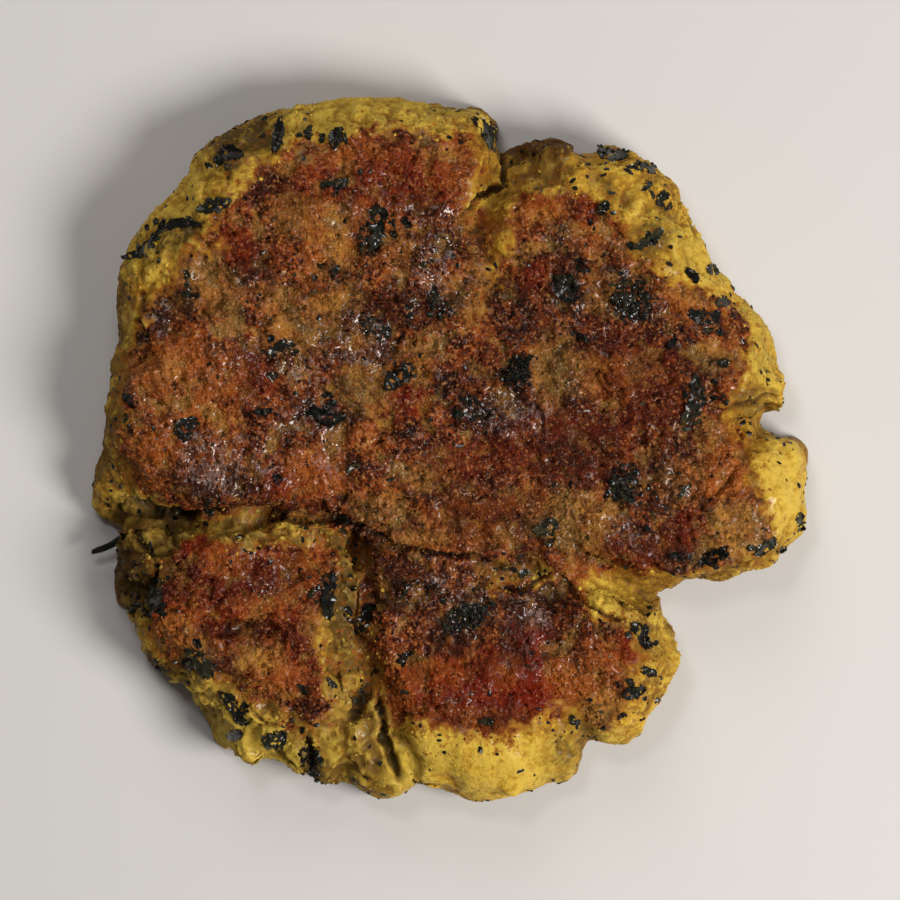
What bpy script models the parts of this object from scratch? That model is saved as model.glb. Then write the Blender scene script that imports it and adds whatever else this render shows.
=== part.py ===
"""A pan-fried potato cake with chopped herbs: one piece of mash, fried on both flat faces.

The cake is put together the way it is made. Spoonfuls of mash are pressed side by side into the pan, so
they run together into one lobed cake with creases where they meet. The pan flattens the top and the
underside, the rim stays soft and lumpy, and flakes of herb stand a little proud of the surface.

Metres, +Z up. The origin is on the plate, under the middle of the cake's length and width.
"""

import math
import random

import bmesh
import bpy
from mathutils import Matrix, Vector, noise
from mathutils.bvhtree import BVHTree

MM = 0.001

# Driving sizes, in millimetres
CRUST_HEIGHT = 19.5  # the fried top above the plate
SUNK = 7.0  # how far each spoonful reaches below the plate before the pan presses the underside flat
CRUST_FOOT = 9.0  # where the stiff fried layer starts, inside the mash
SOFT_PRESS = 0.6  # how gently the pressed top rounds over into the rim
TOP_WAVE = 1.1  # the top's slow rise and fall
TOP_RELIEF = 0.7  # the crust's own bumps
SIDE_RELIEF = 1.5  # the bumps of the soft rim
COARSE_VOXEL = 1.3
FINE_VOXEL = 0.9
BODY_TRIANGLES = 9450
FLAT_WITHIN = 0.25  # the underside is made exactly flat where it is within this of the plate
SOFTEN_SHARE, SOFTEN_ROUNDS = 0.5, 2  # how much the melted skin is smoothed
FLAKE_THICKNESS = 1.1
FLAKE_TOP_SHARE = 0.4  # how much of a flake's thickness stands above the mash
FLAKE_RAGGED = (0.95, 1.25)  # a flake's least and greatest reach, as a share of its half size
SEED = 7

# How the rim's relief is put together, in millimetres and shares of SIDE_RELIEF
BIG_LUMP, SMALL_LUMP, RIPPLE = 7.0, 3.6, 8.0  # sizes of lumps and ripples
BIG_SHARE, SMALL_SHARE, RIPPLE_SHARE = 1.5, 0.7, 0.6
BIG_LEVEL, SMALL_LEVEL = 0.52, 0.50  # the lumps' mean, taken off so that the rim keeps its size
CRUST_BUMP = 4.0  # size of the bumps on the fried top
WAVE_LENGTH = 24.0  # length of the top's slow wave
FLAT_NORMAL = (0.45, 0.85)  # a face counts as rim below the first upward slope, and as top above the second
CREASE_FADE = 3.0  # a crease this deep has the rim's relief in it
SWAY, SWAY_SIZE = 1.6, 7.0  # how far a crease wanders off its line, and over what length
CREASE_REACH = 3.0  # half widths from its line over which a crease is cut
CREASE_FLOOR, CREASE_FULL = 3.0, 11.0  # creases fade out between these heights above the plate

# Potato crumbs on the rim: how far in from its edge, how high, and their stretch along, across and up
CRUMB_SET_IN = (0.2, 2.4)
CRUMB_HEIGHT = (2.5, 13.5)
CRUMB_STRETCH = ((0.9, 1.35), (0.8, 1.1), (0.7, 1.0))
RIM_SEARCH, RIM_STEP = 75.0, 0.5  # where the search for the rim starts, and its step

# How square a shape is in plan and at its side: 2 is an ellipse, and more is squarer
MASH_SHAPE = (2.2, 2.1)
CRUST_SHAPE = (2.6, 2.9)

# Spoonfuls of mash: middle x and y, half length, half width, turn in degrees, height, all in millimetres
SPOONFULS = {
    "north_west": (-25.5, 27.5, 36.0, 32.6, 26, 23.4),
    "north": (-9.5, 44.8, 20.4, 19.0, -4, 22.6),
    "west": (-36.0, 5.5, 25.0, 20.4, 0, 23.6),
    "middle": (-2.0, 12.0, 36.0, 30.0, 0, 24.0),
    "north_east": (24.6, 30.2, 24.0, 23.4, -40, 23.2),
    "north_east_flank": (38.5, 14.5, 22.5, 19.0, -60, 23.0),
    "east": (38.5, 13.0, 22.2, 14.0, -10, 22.6),
    "east_lobe": (45.5, -10.0, 19.6, 13.4, -3, 22.4),
    "south_middle": (9.0, -7.0, 37.0, 18.6, -8, 24.0),
    "south": (3.8, -42.0, 20.4, 22.4, 0, 22.8),
    "south_east": (26.8, -38.0, 13.4, 15.8, 14, 22.2),
    "south_west": (-36.2, -32.5, 19.0, 17.0, -8, 22.8),
    "south_west_foot": (-29.5, -47.0, 15.4, 11.4, -20, 17.0),
    "bed": (-9.0, -15.0, 45.0, 34.0, 0, 14.5),
}

# The stiff fried layer on top of each spoonful, by the same six sizes
CRUSTS = {
    "north_west": (-26.5, 28.0, 31.5, 24.0, 38, 20.6),
    "north": (-8.0, 46.5, 13.5, 10.8, 0, 20.4),
    "west": (-36.0, 5.5, 22.6, 18.4, 0, 20.6),
    "middle": (-2.0, 12.0, 36.0, 28.0, 0, 20.4),
    "north_east": (27.5, 25.5, 27.5, 17.0, -36, 20.4),
    "east": (38.0, 9.0, 16.0, 15.0, -8, 20.4),
    "east_lobe": (40.0, -9.5, 17.5, 12.4, -5, 20.4),
    "south_middle": (9.0, -8.0, 33.0, 15.0, -8, 20.4),
    "south_bridge": (-0.5, -22.5, 15.5, 6.5, -3, 20.2),
    "south": (1.7, -37.2, 17.6, 15.2, 0, 20.8),
    "south_east": (28.5, -40.0, 8.4, 10.5, 10, 20.0),
    "south_west": (-38.0, -29.0, 16.2, 13.6, -6, 20.4),
    "south_west_tip": (-27.0, -43.5, 6.5, 8.0, 20, 19.4),
}

# Lower lumps that show round the rim and down in the creases, by the same six sizes
LOW_LUMPS = {
    "recess": (17.0, 46.5, 7.4, 8.0, 10, 13.0),
    "recess_knob": (8.5, 47.5, 4.5, 5.5, 30, 17.0),
    "north_tip": (4.0, 57.5, 5.8, 4.6, -18, 15.0),
    "west_rim": (-57.6, 4.0, 3.8, 9.5, 4, 13.5),
    "west_foot": (-58.6, -7.8, 6.4, 6.8, 8, 12.0),
    "burnt_rim": (-57.2, -21.4, 3.4, 7.4, 6, 8.5),
    "south_foot": (-13.0, -55.0, 7.2, 8.0, -20, 13.5),
    "tip_foot": (-36.5, -49.6, 5.6, 6.0, -25, 12.5),
    "south_corner": (18.6, -56.4, 5.8, 5.6, 0, 13.0),
    "lobe_corner": (60.4, -2.2, 4.2, 4.4, 0, 14.0),
    "east_notch": (51.0, 4.5, 5.4, 4.0, 0, 11.0),
    "south_east_foot": (36.0, -31.5, 4.4, 5.4, 40, 15.0),
    "pale_a": (-29.5, -14.8, 6.0, 3.0, 3, 17.0),
    "pale_b": (-39.0, -15.4, 5.2, 2.8, -8, 16.0),
    "pale_c": (-53.0, -16.4, 6.0, 4.4, 20, 14.0),
    "green_a": (-17.0, -33.0, 3.2, 5.6, 4, 16.5),
    "green_b": (-15.0, -50.0, 3.6, 6.4, -12, 15.0),
    "smooth_lump": (28.5, -28.8, 4.2, 3.4, -20, 19.0),
}

# Creases where spoonfuls meet: half width, depth where it starts and where it ends, and the points it passes
CREASES = {
    "under_the_shelf": (1.5, 5.5, 4.0, [(-62, -13.2), (-46, -13.4), (-30, -12.6), (-19, -14.5)]),
    "south_split": (1.9, 4.5, 8.0, [(-17, -18), (-18, -26), (-17.4, -34), (-15, -41), (-10.8, -49), (-7, -64)]),
    "south_slit": (1.2, 4.5, 3.0, [(-15.8, -42.5), (-17.6, -47), (-19.6, -51.5)]),
    "south_fold": (1.7, 2.6, 1.8, [(-14.5, -19), (-4, -22.2), (8, -23.5), (17, -21.5)]),
    "east_gap": (2.4, 14.0, 2.0, [(46, -30), (38, -27.2), (29, -23.6), (22, -18)]),
    "north_valley": (2.4, 6.5, 1.5, [(12.5, 55), (7, 45), (4.2, 39), (7.6, 32), (6.4, 26)]),
    "south_east_nick": (1.5, 5.0, 1.2, [(25.6, -58), (24.0, -50), (22.0, -44)]),
    "east_nick": (1.8, 9.0, 1.0, [(61, 5.0), (53, 4.6), (45, 2.0)]),
    "groove": (1.1, 1.5, 1.5, [(-46, -33.6), (-38, -34.2), (-30, -33.8)]),
}

# Herb flakes that show: middle x and y, length, width, and turn in degrees from +X
HERBS = [
    (-40.5, 53.3, 5.0, 3.4, 20), (-31.4, 57.0, 6.6, 2.4, 80), (-20.8, 56.5, 4.4, 2.4, 70),
    (-21.0, 48.0, 5.2, 2.2, 10), (-43.0, 44.0, 6.6, 2.4, 15), (-50.0, 40.4, 9.0, 2.2, 12),
    (-56.5, 36.0, 7.0, 2.0, 35), (-13.3, 40.0, 8.4, 3.0, 85), (-9.3, 12.7, 6.4, 3.0, 40),
    (-22.6, 5.6, 6.6, 3.2, -20), (-48.0, 3.4, 5.2, 3.0, 60), (-31.0, 18.0, 5.4, 2.2, 30),
    (6.4, 57.6, 6.4, 2.4, -60), (28.0, 53.2, 4.4, 2.4, 10), (34.2, 50.2, 6.4, 2.8, -15),
    (30.0, 46.0, 5.4, 2.2, -45), (36.6, 42.6, 5.0, 2.6, 40), (41.6, 38.4, 6.0, 2.4, 30),
    (33.4, 26.8, 8.4, 6.4, 70), (46.2, 23.7, 6.0, 2.6, -10), (44.5, 8.7, 9.0, 3.0, 75),
    (12.6, 14.0, 6.4, 4.6, 60), (20.6, 28.6, 5.6, 3.4, -50), (32.0, -7.0, 7.6, 5.4, 80),
    (17.6, -14.8, 4.6, 3.4, 30), (48.0, -20.0, 5.6, 2.6, 35), (57.6, -18.2, 4.8, 2.4, 40),
    (3.3, -31.0, 8.0, 5.4, 40), (34.8, -34.2, 5.4, 2.2, -62), (33.6, -44.8, 4.6, 2.4, 20),
    (-22.0, -27.0, 8.4, 2.8, 85), (-45.6, -39.3, 6.4, 3.0, -50), (-40.0, -47.0, 6.0, 2.2, -60),
    (-32.0, -53.4, 4.6, 3.0, 10), (-53.6, -28.6, 6.0, 3.2, -80), (-15.4, -31.0, 5.4, 2.6, 60),
]

# The burnt stem that sticks out on the west: its two ends and its radius
BURNT_STEM = ((-65.4, -18.8, 5.2), (-54.0, -14.6, 8.0), 0.65)

# Potato lumps and crumbs along the rim: from and to in degrees, how many, least and greatest radius
RIM_CRUMBS = {
    "south_west": (196, 262, 34, 1.7, 3.4),
    "west": (150, 196, 12, 1.6, 2.8),
    "north_west": (92, 150, 12, 1.6, 3.0),
    "north": (50, 92, 9, 1.9, 3.4),
    "east": (-60, 50, 18, 1.7, 3.2),
    "south": (262, 300, 9, 1.9, 3.2),
}


def empty_the_scene():
    for item in list(bpy.data.objects):
        bpy.data.objects.remove(item, do_unlink=True)


def new_collection(name):
    collection = bpy.data.collections.new(name)
    bpy.context.scene.collection.children.link(collection)
    return collection


def add_object(name, mesh, collection):
    item = bpy.data.objects.new(name, mesh)
    collection.objects.link(item)
    return item


def evaluated_mesh(item):
    """The object's mesh with its modifiers applied."""
    graph = bpy.context.evaluated_depsgraph_get()
    return bpy.data.meshes.new_from_object(item.evaluated_get(graph))


def apply_modifiers(item):
    mesh = evaluated_mesh(item)
    item.modifiers.clear()
    item.data = mesh


def power(value, exponent):
    """A power that keeps the sign, which turns circles into squarer curves."""
    return math.copysign(abs(value) ** exponent, value)


def in_plan(x, y, middle_x, middle_y, half_length, half_width, turn):
    """How far out a point lies in a spoonful's plan: under 1 is inside."""
    angle, squareness = math.radians(turn), MASH_SHAPE[0]
    along = (x - middle_x) * math.cos(angle) + (y - middle_y) * math.sin(angle)
    across = (y - middle_y) * math.cos(angle) - (x - middle_x) * math.sin(angle)
    size = abs(along / half_length) ** squareness + abs(across / half_width) ** squareness
    return size ** (1 / squareness)


def rim_radius(angle):
    """Distance in millimetres from the middle of the cake to its rim, in the direction angle."""
    radius = RIM_SEARCH
    while radius > 0:
        x, y = radius * math.cos(angle), radius * math.sin(angle)
        if any(in_plan(x, y, *sizes[:5]) < 1 for sizes in SPOONFULS.values()):
            return radius
        radius -= RIM_STEP
    return 0.0


def pressed_ball(bm, sizes, foot, shape):
    """Adds one ball squashed to its sizes, from foot up to its height, squarer in plan and at its side."""
    middle_x, middle_y, half_length, half_width, turn, height = sizes
    plan, side = shape
    made = bmesh.ops.create_uvsphere(bm, u_segments=40, v_segments=20, radius=1.0)
    half_height = (height - foot) / 2
    for vert in made["verts"]:
        out = math.hypot(vert.co.x, vert.co.y)
        reach = min(out, 1.0) ** (2 / side)
        if out > 1e-6:
            cx, cy = vert.co.x / out, vert.co.y / out
            reach /= (abs(cx) ** plan + abs(cy) ** plan) ** (1 / plan)
            vert.co.x, vert.co.y = cx * reach * half_length, cy * reach * half_width
        vert.co.z = power(vert.co.z, 2 / side) * half_height + height - half_height
    place = Matrix.Translation((middle_x, middle_y, 0)) @ Matrix.Rotation(math.radians(turn), 4, "Z")
    bmesh.ops.transform(bm, matrix=place, verts=made["verts"])


def rim_crumbs(bm, rng, start, end, count, least, greatest):
    """Adds small balls of mash along a stretch of the rim, half buried in it."""
    for i in range(count):
        angle = math.radians(start + (end - start) * (i + rng.random()) / count)
        radius = rng.uniform(least, greatest)
        out = rim_radius(angle) - rng.uniform(*CRUMB_SET_IN)
        height = rng.uniform(*CRUMB_HEIGHT)
        made = bmesh.ops.create_icosphere(bm, subdivisions=2, radius=radius)
        stretch = Matrix.Diagonal([rng.uniform(*ends) for ends in CRUMB_STRETCH] + [1.0])
        turn = Matrix.Rotation(angle + math.pi / 2, 4, "Z")
        place = Matrix.Translation((out * math.cos(angle), out * math.sin(angle), height))
        bmesh.ops.transform(bm, matrix=place @ turn @ stretch, verts=made["verts"])


def voxel_join(item, voxel):
    """Melts overlapping shells into one closed skin."""
    remesh = item.modifiers.new("melt_together", "REMESH")
    remesh.mode = "VOXEL"
    remesh.voxel_size = voxel
    apply_modifiers(item)


def smooth(item):
    soften = item.modifiers.new("soften", "SMOOTH")
    soften.factor = SOFTEN_SHARE
    soften.iterations = SOFTEN_ROUNDS
    apply_modifiers(item)


def along_crease(x, y, points):
    """Distance to a crease's line, and how far along the line the nearest place is, from 0 to 1."""
    lengths = [math.dist(a, b) for a, b in zip(points, points[1:])]
    whole, before = sum(lengths), 0.0
    best, share = 1e9, 0.0
    for (ax, ay), (bx, by), length in zip(points, points[1:], lengths):
        t = ((x - ax) * (bx - ax) + (y - ay) * (by - ay)) / length**2
        t = max(0.0, min(1.0, t))
        gap = math.hypot(x - ax - t * (bx - ax), y - ay - t * (by - ay))
        if gap < best:
            best, share = gap, (before + t * length) / whole
        before += length
    return best, share


def crease_depth(x, y):
    """How far the creases pull the top down at a place, in millimetres."""
    sway = SWAY * noise.noise(Vector((x / SWAY_SIZE, y / SWAY_SIZE, 4.0)))
    deepest = 0.0
    for half_width, first, last, points in CREASES.values():
        gap, share = along_crease(x + sway, y - sway, points)
        if gap < CREASE_REACH * half_width:
            depth = first + (last - first) * share
            deepest = max(deepest, depth * math.exp(-((gap / half_width) ** 2)))
    return deepest


def pan_height(x, y):
    """Where the pan held the top, in millimetres: nearly flat, with a slow wave."""
    return CRUST_HEIGHT + TOP_WAVE * noise.noise(Vector((x / WAVE_LENGTH, y / WAVE_LENGTH, 1.7)))


def soft_minimum(a, b, softness):
    """The smaller of two heights, rounded over where they meet."""
    return min(a, b) - softness * math.log1p(math.exp(-abs(a - b) / softness))


def share_between(value, low, high):
    """0 at low and below, 1 at high and above."""
    return max(0.0, min(1.0, (value - low) / (high - low)))


def relief(place, normal, crease):
    """How far the surface is pushed out along its normal: lumps on the soft rim, small bumps on top."""
    big = BIG_LEVEL - noise.voronoi(place / BIG_LUMP)[0][0]
    small = SMALL_LEVEL - noise.voronoi(place / SMALL_LUMP + Vector((9, 2, 5)))[0][0]
    ripple = noise.fractal(place / RIPPLE, 1.0, 2.0, 3)
    flat = share_between(normal.z, *FLAT_NORMAL) * max(0.0, 1 - crease / CREASE_FADE)
    rim = SIDE_RELIEF * (BIG_SHARE * big + SMALL_SHARE * small + RIPPLE_SHARE * ripple)
    return rim * (1 - flat) + TOP_RELIEF * ripple * flat


def work_the_surface(item):
    """Cuts the creases, roughens the rim and presses both faces flat, all by moving points."""
    mesh = item.data
    normals = [v.normal.copy() for v in mesh.vertices]
    for vert, normal in zip(mesh.vertices, normals):
        place = vert.co.copy()
        crease = crease_depth(place.x, place.y) * share_between(place.z, CREASE_FLOOR, CREASE_FULL)
        place += normal * relief(place, normal, crease)
        pressed = soft_minimum(place.z, pan_height(place.x, place.y), SOFT_PRESS)
        if normal.z > 0.5:
            pressed += TOP_RELIEF * noise.fractal(place / CRUST_BUMP, 1.0, 2.0, 2)
        vert.co = Vector((place.x, place.y, max(0.0, pressed - crease)))


def thin_out(item, triangles):
    """Lets go of triangles where the surface is even."""
    bm = bmesh.new()
    bm.from_mesh(item.data)
    bmesh.ops.triangulate(bm, faces=bm.faces)
    now = len(bm.faces)
    bm.to_mesh(item.data)
    bm.free()
    decimate = item.modifiers.new("thin_out", "DECIMATE")
    decimate.ratio = min(1.0, triangles / now)
    apply_modifiers(item)


def flatten_underside(item):
    """Lays the underside exactly on the plate where it is very nearly there."""
    for vert in item.data.vertices:
        if vert.co.z < FLAT_WITHIN:
            vert.co.z = 0.0


def herb_flake(name, rng, length, width, collection):
    """A scrap of leaf: an eight-sided ball squashed to a thin plate, with its rim pulled about a little."""
    bm = bmesh.new()
    bmesh.ops.create_uvsphere(bm, u_segments=8, v_segments=3, radius=1.0)
    for vert in bm.verts:
        reach = rng.uniform(*FLAKE_RAGGED) / 2
        height = vert.co.z * FLAKE_THICKNESS * (FLAKE_TOP_SHARE if vert.co.z > 0 else 1.0)
        vert.co = Vector((vert.co.x * length * reach, vert.co.y * width * reach, height))
    mesh = bpy.data.meshes.new(name)
    bm.to_mesh(mesh)
    bm.free()
    return add_object(name, mesh, collection)


def lay_flakes(cake, rng, collection):
    """Lays each herb flake on the cake from above, turned to lie along the surface and sunk into it."""
    tree = BVHTree.FromObject(cake, bpy.context.evaluated_depsgraph_get())
    for i, (x, y, length, width, turn) in enumerate(HERBS):
        hit, normal, _, _ = tree.ray_cast(Vector((x, y, 60)), Vector((0, 0, -1)))
        if hit is None:
            continue
        flake = herb_flake(f"flake_{i:02d}", rng, length, width, collection)
        spin = Matrix.Rotation(math.radians(turn), 4, "Z")
        lean = Vector((0, 0, 1)).rotation_difference(normal).to_matrix().to_4x4()
        flake.data.transform(Matrix.Translation(hit) @ lean @ spin)


def burnt_stem(collection):
    """A thin tapered stem, thicker where it leaves the mash."""
    outer, inner, radius = Vector(BURNT_STEM[0]), Vector(BURNT_STEM[1]), BURNT_STEM[2]
    along = inner - outer
    bm = bmesh.new()
    bmesh.ops.create_cone(bm, cap_ends=True, segments=6, radius1=0.6 * radius, radius2=1.3 * radius,
                          depth=along.length)
    turn = along.to_track_quat("Z", "Y").to_matrix().to_4x4()
    bmesh.ops.transform(bm, matrix=Matrix.Translation((outer + inner) / 2) @ turn, verts=bm.verts)
    mesh = bpy.data.meshes.new("burnt_stem")
    bm.to_mesh(mesh)
    bm.free()
    add_object("burnt_stem", mesh, collection)


def join_flakes(cake, collection):
    """Joins the flakes and the cake into one solid, and clears the flakes away."""
    join = cake.modifiers.new("herbs_in_the_mash", "BOOLEAN")
    join.operation = "UNION"
    join.operand_type = "COLLECTION"
    join.solver = "EXACT"
    join.collection = collection
    apply_modifiers(cake)
    for item in list(collection.objects):
        bpy.data.objects.remove(item)
    bpy.data.collections.remove(collection)


def to_metres(item):
    """Centres the finished cake over the origin and scales it from millimetres to metres."""
    corners = [Vector(corner) for corner in item.bound_box]
    middle = (corners[0] + corners[6]) / 2
    item.data.transform(Matrix.Translation((-middle.x, -middle.y, 0)))
    item.data.transform(Matrix.Diagonal((MM, MM, MM, 1.0)))


def fried_mash():
    """Browned potato: the crust's colour, dull with a little oil."""
    material = bpy.data.materials.new("fried_mash")
    material.use_nodes = True
    shader = material.node_tree.nodes["Principled BSDF"]
    shader.inputs["Base Color"].default_value = (0.2, 0.07, 0.02, 1.0)
    shader.inputs["Roughness"].default_value = 0.5
    shader.inputs["Metallic"].default_value = 0.0
    return material


def build():
    empty_the_scene()
    parts = new_collection("potato_cake")
    herbs = new_collection("herbs")
    rng = random.Random(SEED)

    bm = bmesh.new()
    for sizes in list(SPOONFULS.values()) + list(LOW_LUMPS.values()):
        pressed_ball(bm, sizes, -SUNK, MASH_SHAPE)
    for sizes in CRUSTS.values():
        pressed_ball(bm, sizes, CRUST_FOOT, CRUST_SHAPE)
    for stretch in RIM_CRUMBS.values():
        rim_crumbs(bm, rng, *stretch)
    mesh = bpy.data.meshes.new("potato_cake")
    bm.to_mesh(mesh)
    bm.free()
    cake = add_object("potato_cake", mesh, parts)

    voxel_join(cake, COARSE_VOXEL)
    smooth(cake)
    work_the_surface(cake)
    voxel_join(cake, FINE_VOXEL)
    thin_out(cake, BODY_TRIANGLES)
    flatten_underside(cake)
    lay_flakes(cake, rng, herbs)
    burnt_stem(herbs)
    join_flakes(cake, herbs)
    to_metres(cake)
    cake.data.materials.clear()
    cake.data.materials.append(fried_mash())
    cake.data.shade_smooth()
    return cake


build()
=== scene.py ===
# %% [markdown]
# # A fried potato cake
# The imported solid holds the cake's true form: lobes, creases, a flat top and a lumpy rim. This lesson
# lays the food's surface over it. The order is the cook's: mash first, then its browned crust, then herbs
# and crumbs. Every size is in metres once it is in a mesh, and in millimetres where a table is easier to
# read that way.

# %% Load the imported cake
import math
import random

import bmesh
import bpy
import numpy as np
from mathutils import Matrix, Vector, noise
from mathutils.bvhtree import BVHTree


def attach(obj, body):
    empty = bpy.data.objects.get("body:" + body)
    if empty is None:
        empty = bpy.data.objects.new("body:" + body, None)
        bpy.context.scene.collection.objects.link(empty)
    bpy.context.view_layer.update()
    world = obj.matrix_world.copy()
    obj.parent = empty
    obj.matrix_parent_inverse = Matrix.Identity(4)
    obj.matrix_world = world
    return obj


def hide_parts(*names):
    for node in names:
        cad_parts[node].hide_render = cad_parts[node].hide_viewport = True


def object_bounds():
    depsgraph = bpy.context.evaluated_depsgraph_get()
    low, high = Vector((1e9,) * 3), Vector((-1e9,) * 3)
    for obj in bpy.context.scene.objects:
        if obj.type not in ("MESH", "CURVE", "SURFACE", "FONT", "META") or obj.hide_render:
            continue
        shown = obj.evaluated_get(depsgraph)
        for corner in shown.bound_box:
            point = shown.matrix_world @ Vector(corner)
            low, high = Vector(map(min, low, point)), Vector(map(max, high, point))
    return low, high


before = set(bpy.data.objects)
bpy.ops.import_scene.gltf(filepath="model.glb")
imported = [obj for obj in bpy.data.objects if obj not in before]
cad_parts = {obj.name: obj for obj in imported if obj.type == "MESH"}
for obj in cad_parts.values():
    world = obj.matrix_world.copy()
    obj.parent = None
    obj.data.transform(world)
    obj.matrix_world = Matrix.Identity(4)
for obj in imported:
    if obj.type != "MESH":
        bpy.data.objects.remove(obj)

MM = 0.001
NODE = "potato_cake"
BODY = "root"
CAD_LOW, CAD_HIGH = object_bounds()
CAKE_SIZE = CAD_HIGH - CAD_LOW
print("cake", [round(side / MM, 1) for side in CAKE_SIZE], "mm")

# %% [markdown]
# ## Where things lie
# A cook would point at places on the cake: the dark patch in the middle, the bright rim on the east. Each
# place is an oval with a middle, two half sizes and a turn. A list of a few ovals per finish keeps the
# whole pattern readable, and noise frays their edges later. X runs east and Y runs north, as seen from
# above.

# %% Ovals: how far inside one a point lies
TABLE_MIDDLE = (-0.02, 0.51)  # the tables' own zero, in millimetres from the middle of the solid's box
SQUARENESS = 2.6  # 2 is an ellipse, and more is squarer
FAR = 1e9  # millimetres: a first guess at a distance, which every real one beats


def inside(x, y, oval):
    """Roughly how many millimetres a place lies inside an oval's edge. Outside it is negative."""
    middle_x, middle_y, half_length, half_width, turn = oval[:5]
    angle = math.radians(turn)
    along = (x - middle_x) * math.cos(angle) + (y - middle_y) * math.sin(angle)
    across = (y - middle_y) * math.cos(angle) - (x - middle_x) * math.sin(angle)
    size = np.abs(along / half_length) ** SQUARENESS + np.abs(across / half_width) ** SQUARENESS
    return (1 - size ** (1 / SQUARENESS)) * min(half_length, half_width)


def smooth_step(value, low, high):
    """From 0 at the low value to 1 at the high one, with no corner at either end."""
    share = np.clip((value - low) / (high - low), 0, 1)
    return share * share * (3 - 2 * share)


def covered(x, y, ovals, soft):
    """From 0 to 1: how strongly a list of ovals, each with its strength last, covers each place."""
    strength = np.zeros(len(x))
    for oval in ovals:
        strength = np.maximum(strength, oval[5] * smooth_step(inside(x, y, oval), -soft, soft))
    return strength


print("the middle of an oval with half sizes 6 and 4 lies", inside(0.0, 0.0, (0, 0, 6, 4, 0)), "mm inside it")

# %% The browned crust's outlines, in millimetres, walked round once
MAIN_CRUST = [
    (-14, 57.5), (-22, 55.5), (-28, 55.5), (-33, 52), (-38, 48), (-41, 44), (-43, 39.5), (-47, 35),
    (-49.5, 30), (-54, 28.5), (-56.5, 25), (-56.5, 19), (-58, 15), (-57.5, 8), (-59, 1), (-58, -6),
    (-53, -11.4), (-45, -13.6), (-36, -12.8), (-29, -13.2), (-22, -14.6), (-18, -16.5), (-16.4, -22),
    (-15.6, -30), (-15.2, -38), (-13.4, -43), (-10.6, -48), (-7, -50.8), (-2, -51.6), (2.5, -53),
    (8, -52.4), (13, -49.8), (19, -47.6), (23, -47.4), (25, -50), (29, -50.4), (32.4, -48), (34.2, -42),
    (33.6, -36), (31.6, -31.4), (27.6, -31), (24.4, -28), (23, -24.4), (26, -23), (31, -25.2), (37, -26.6),
    (40, -24.6), (44, -22), (51, -21.6), (56, -19.4), (58, -13), (54.6, -7), (54.6, -1.6), (50.4, 3),
    (50, 9), (53.6, 14), (54, 19.6), (51.6, 25), (46, 28.6), (40.6, 29.6), (37.6, 34), (34, 37),
    (31.4, 41.6), (24.6, 46.2), (18.6, 46.4), (13.4, 46.2), (12, 42.6), (7, 40.6), (3.4, 42), (3.2, 46.4),
    (5.4, 50.4), (4, 55), (-3, 57.6),
]
SOUTH_WEST_CRUST = [
    (-54.4, -22), (-49.6, -19.6), (-48, -17), (-45, -14.8), (-42, -17), (-36, -18.4), (-29, -17),
    (-22.6, -16.6), (-20.4, -19), (-22, -25), (-22.8, -31), (-24, -35), (-21.8, -39), (-24.4, -43.6),
    (-22.6, -48), (-24.6, -51.4), (-29.4, -50.6), (-31.4, -47.6), (-37, -45), (-42.4, -42), (-46, -38.4),
    (-51.4, -38), (-55.6, -32.6), (-53, -28),
]
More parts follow.
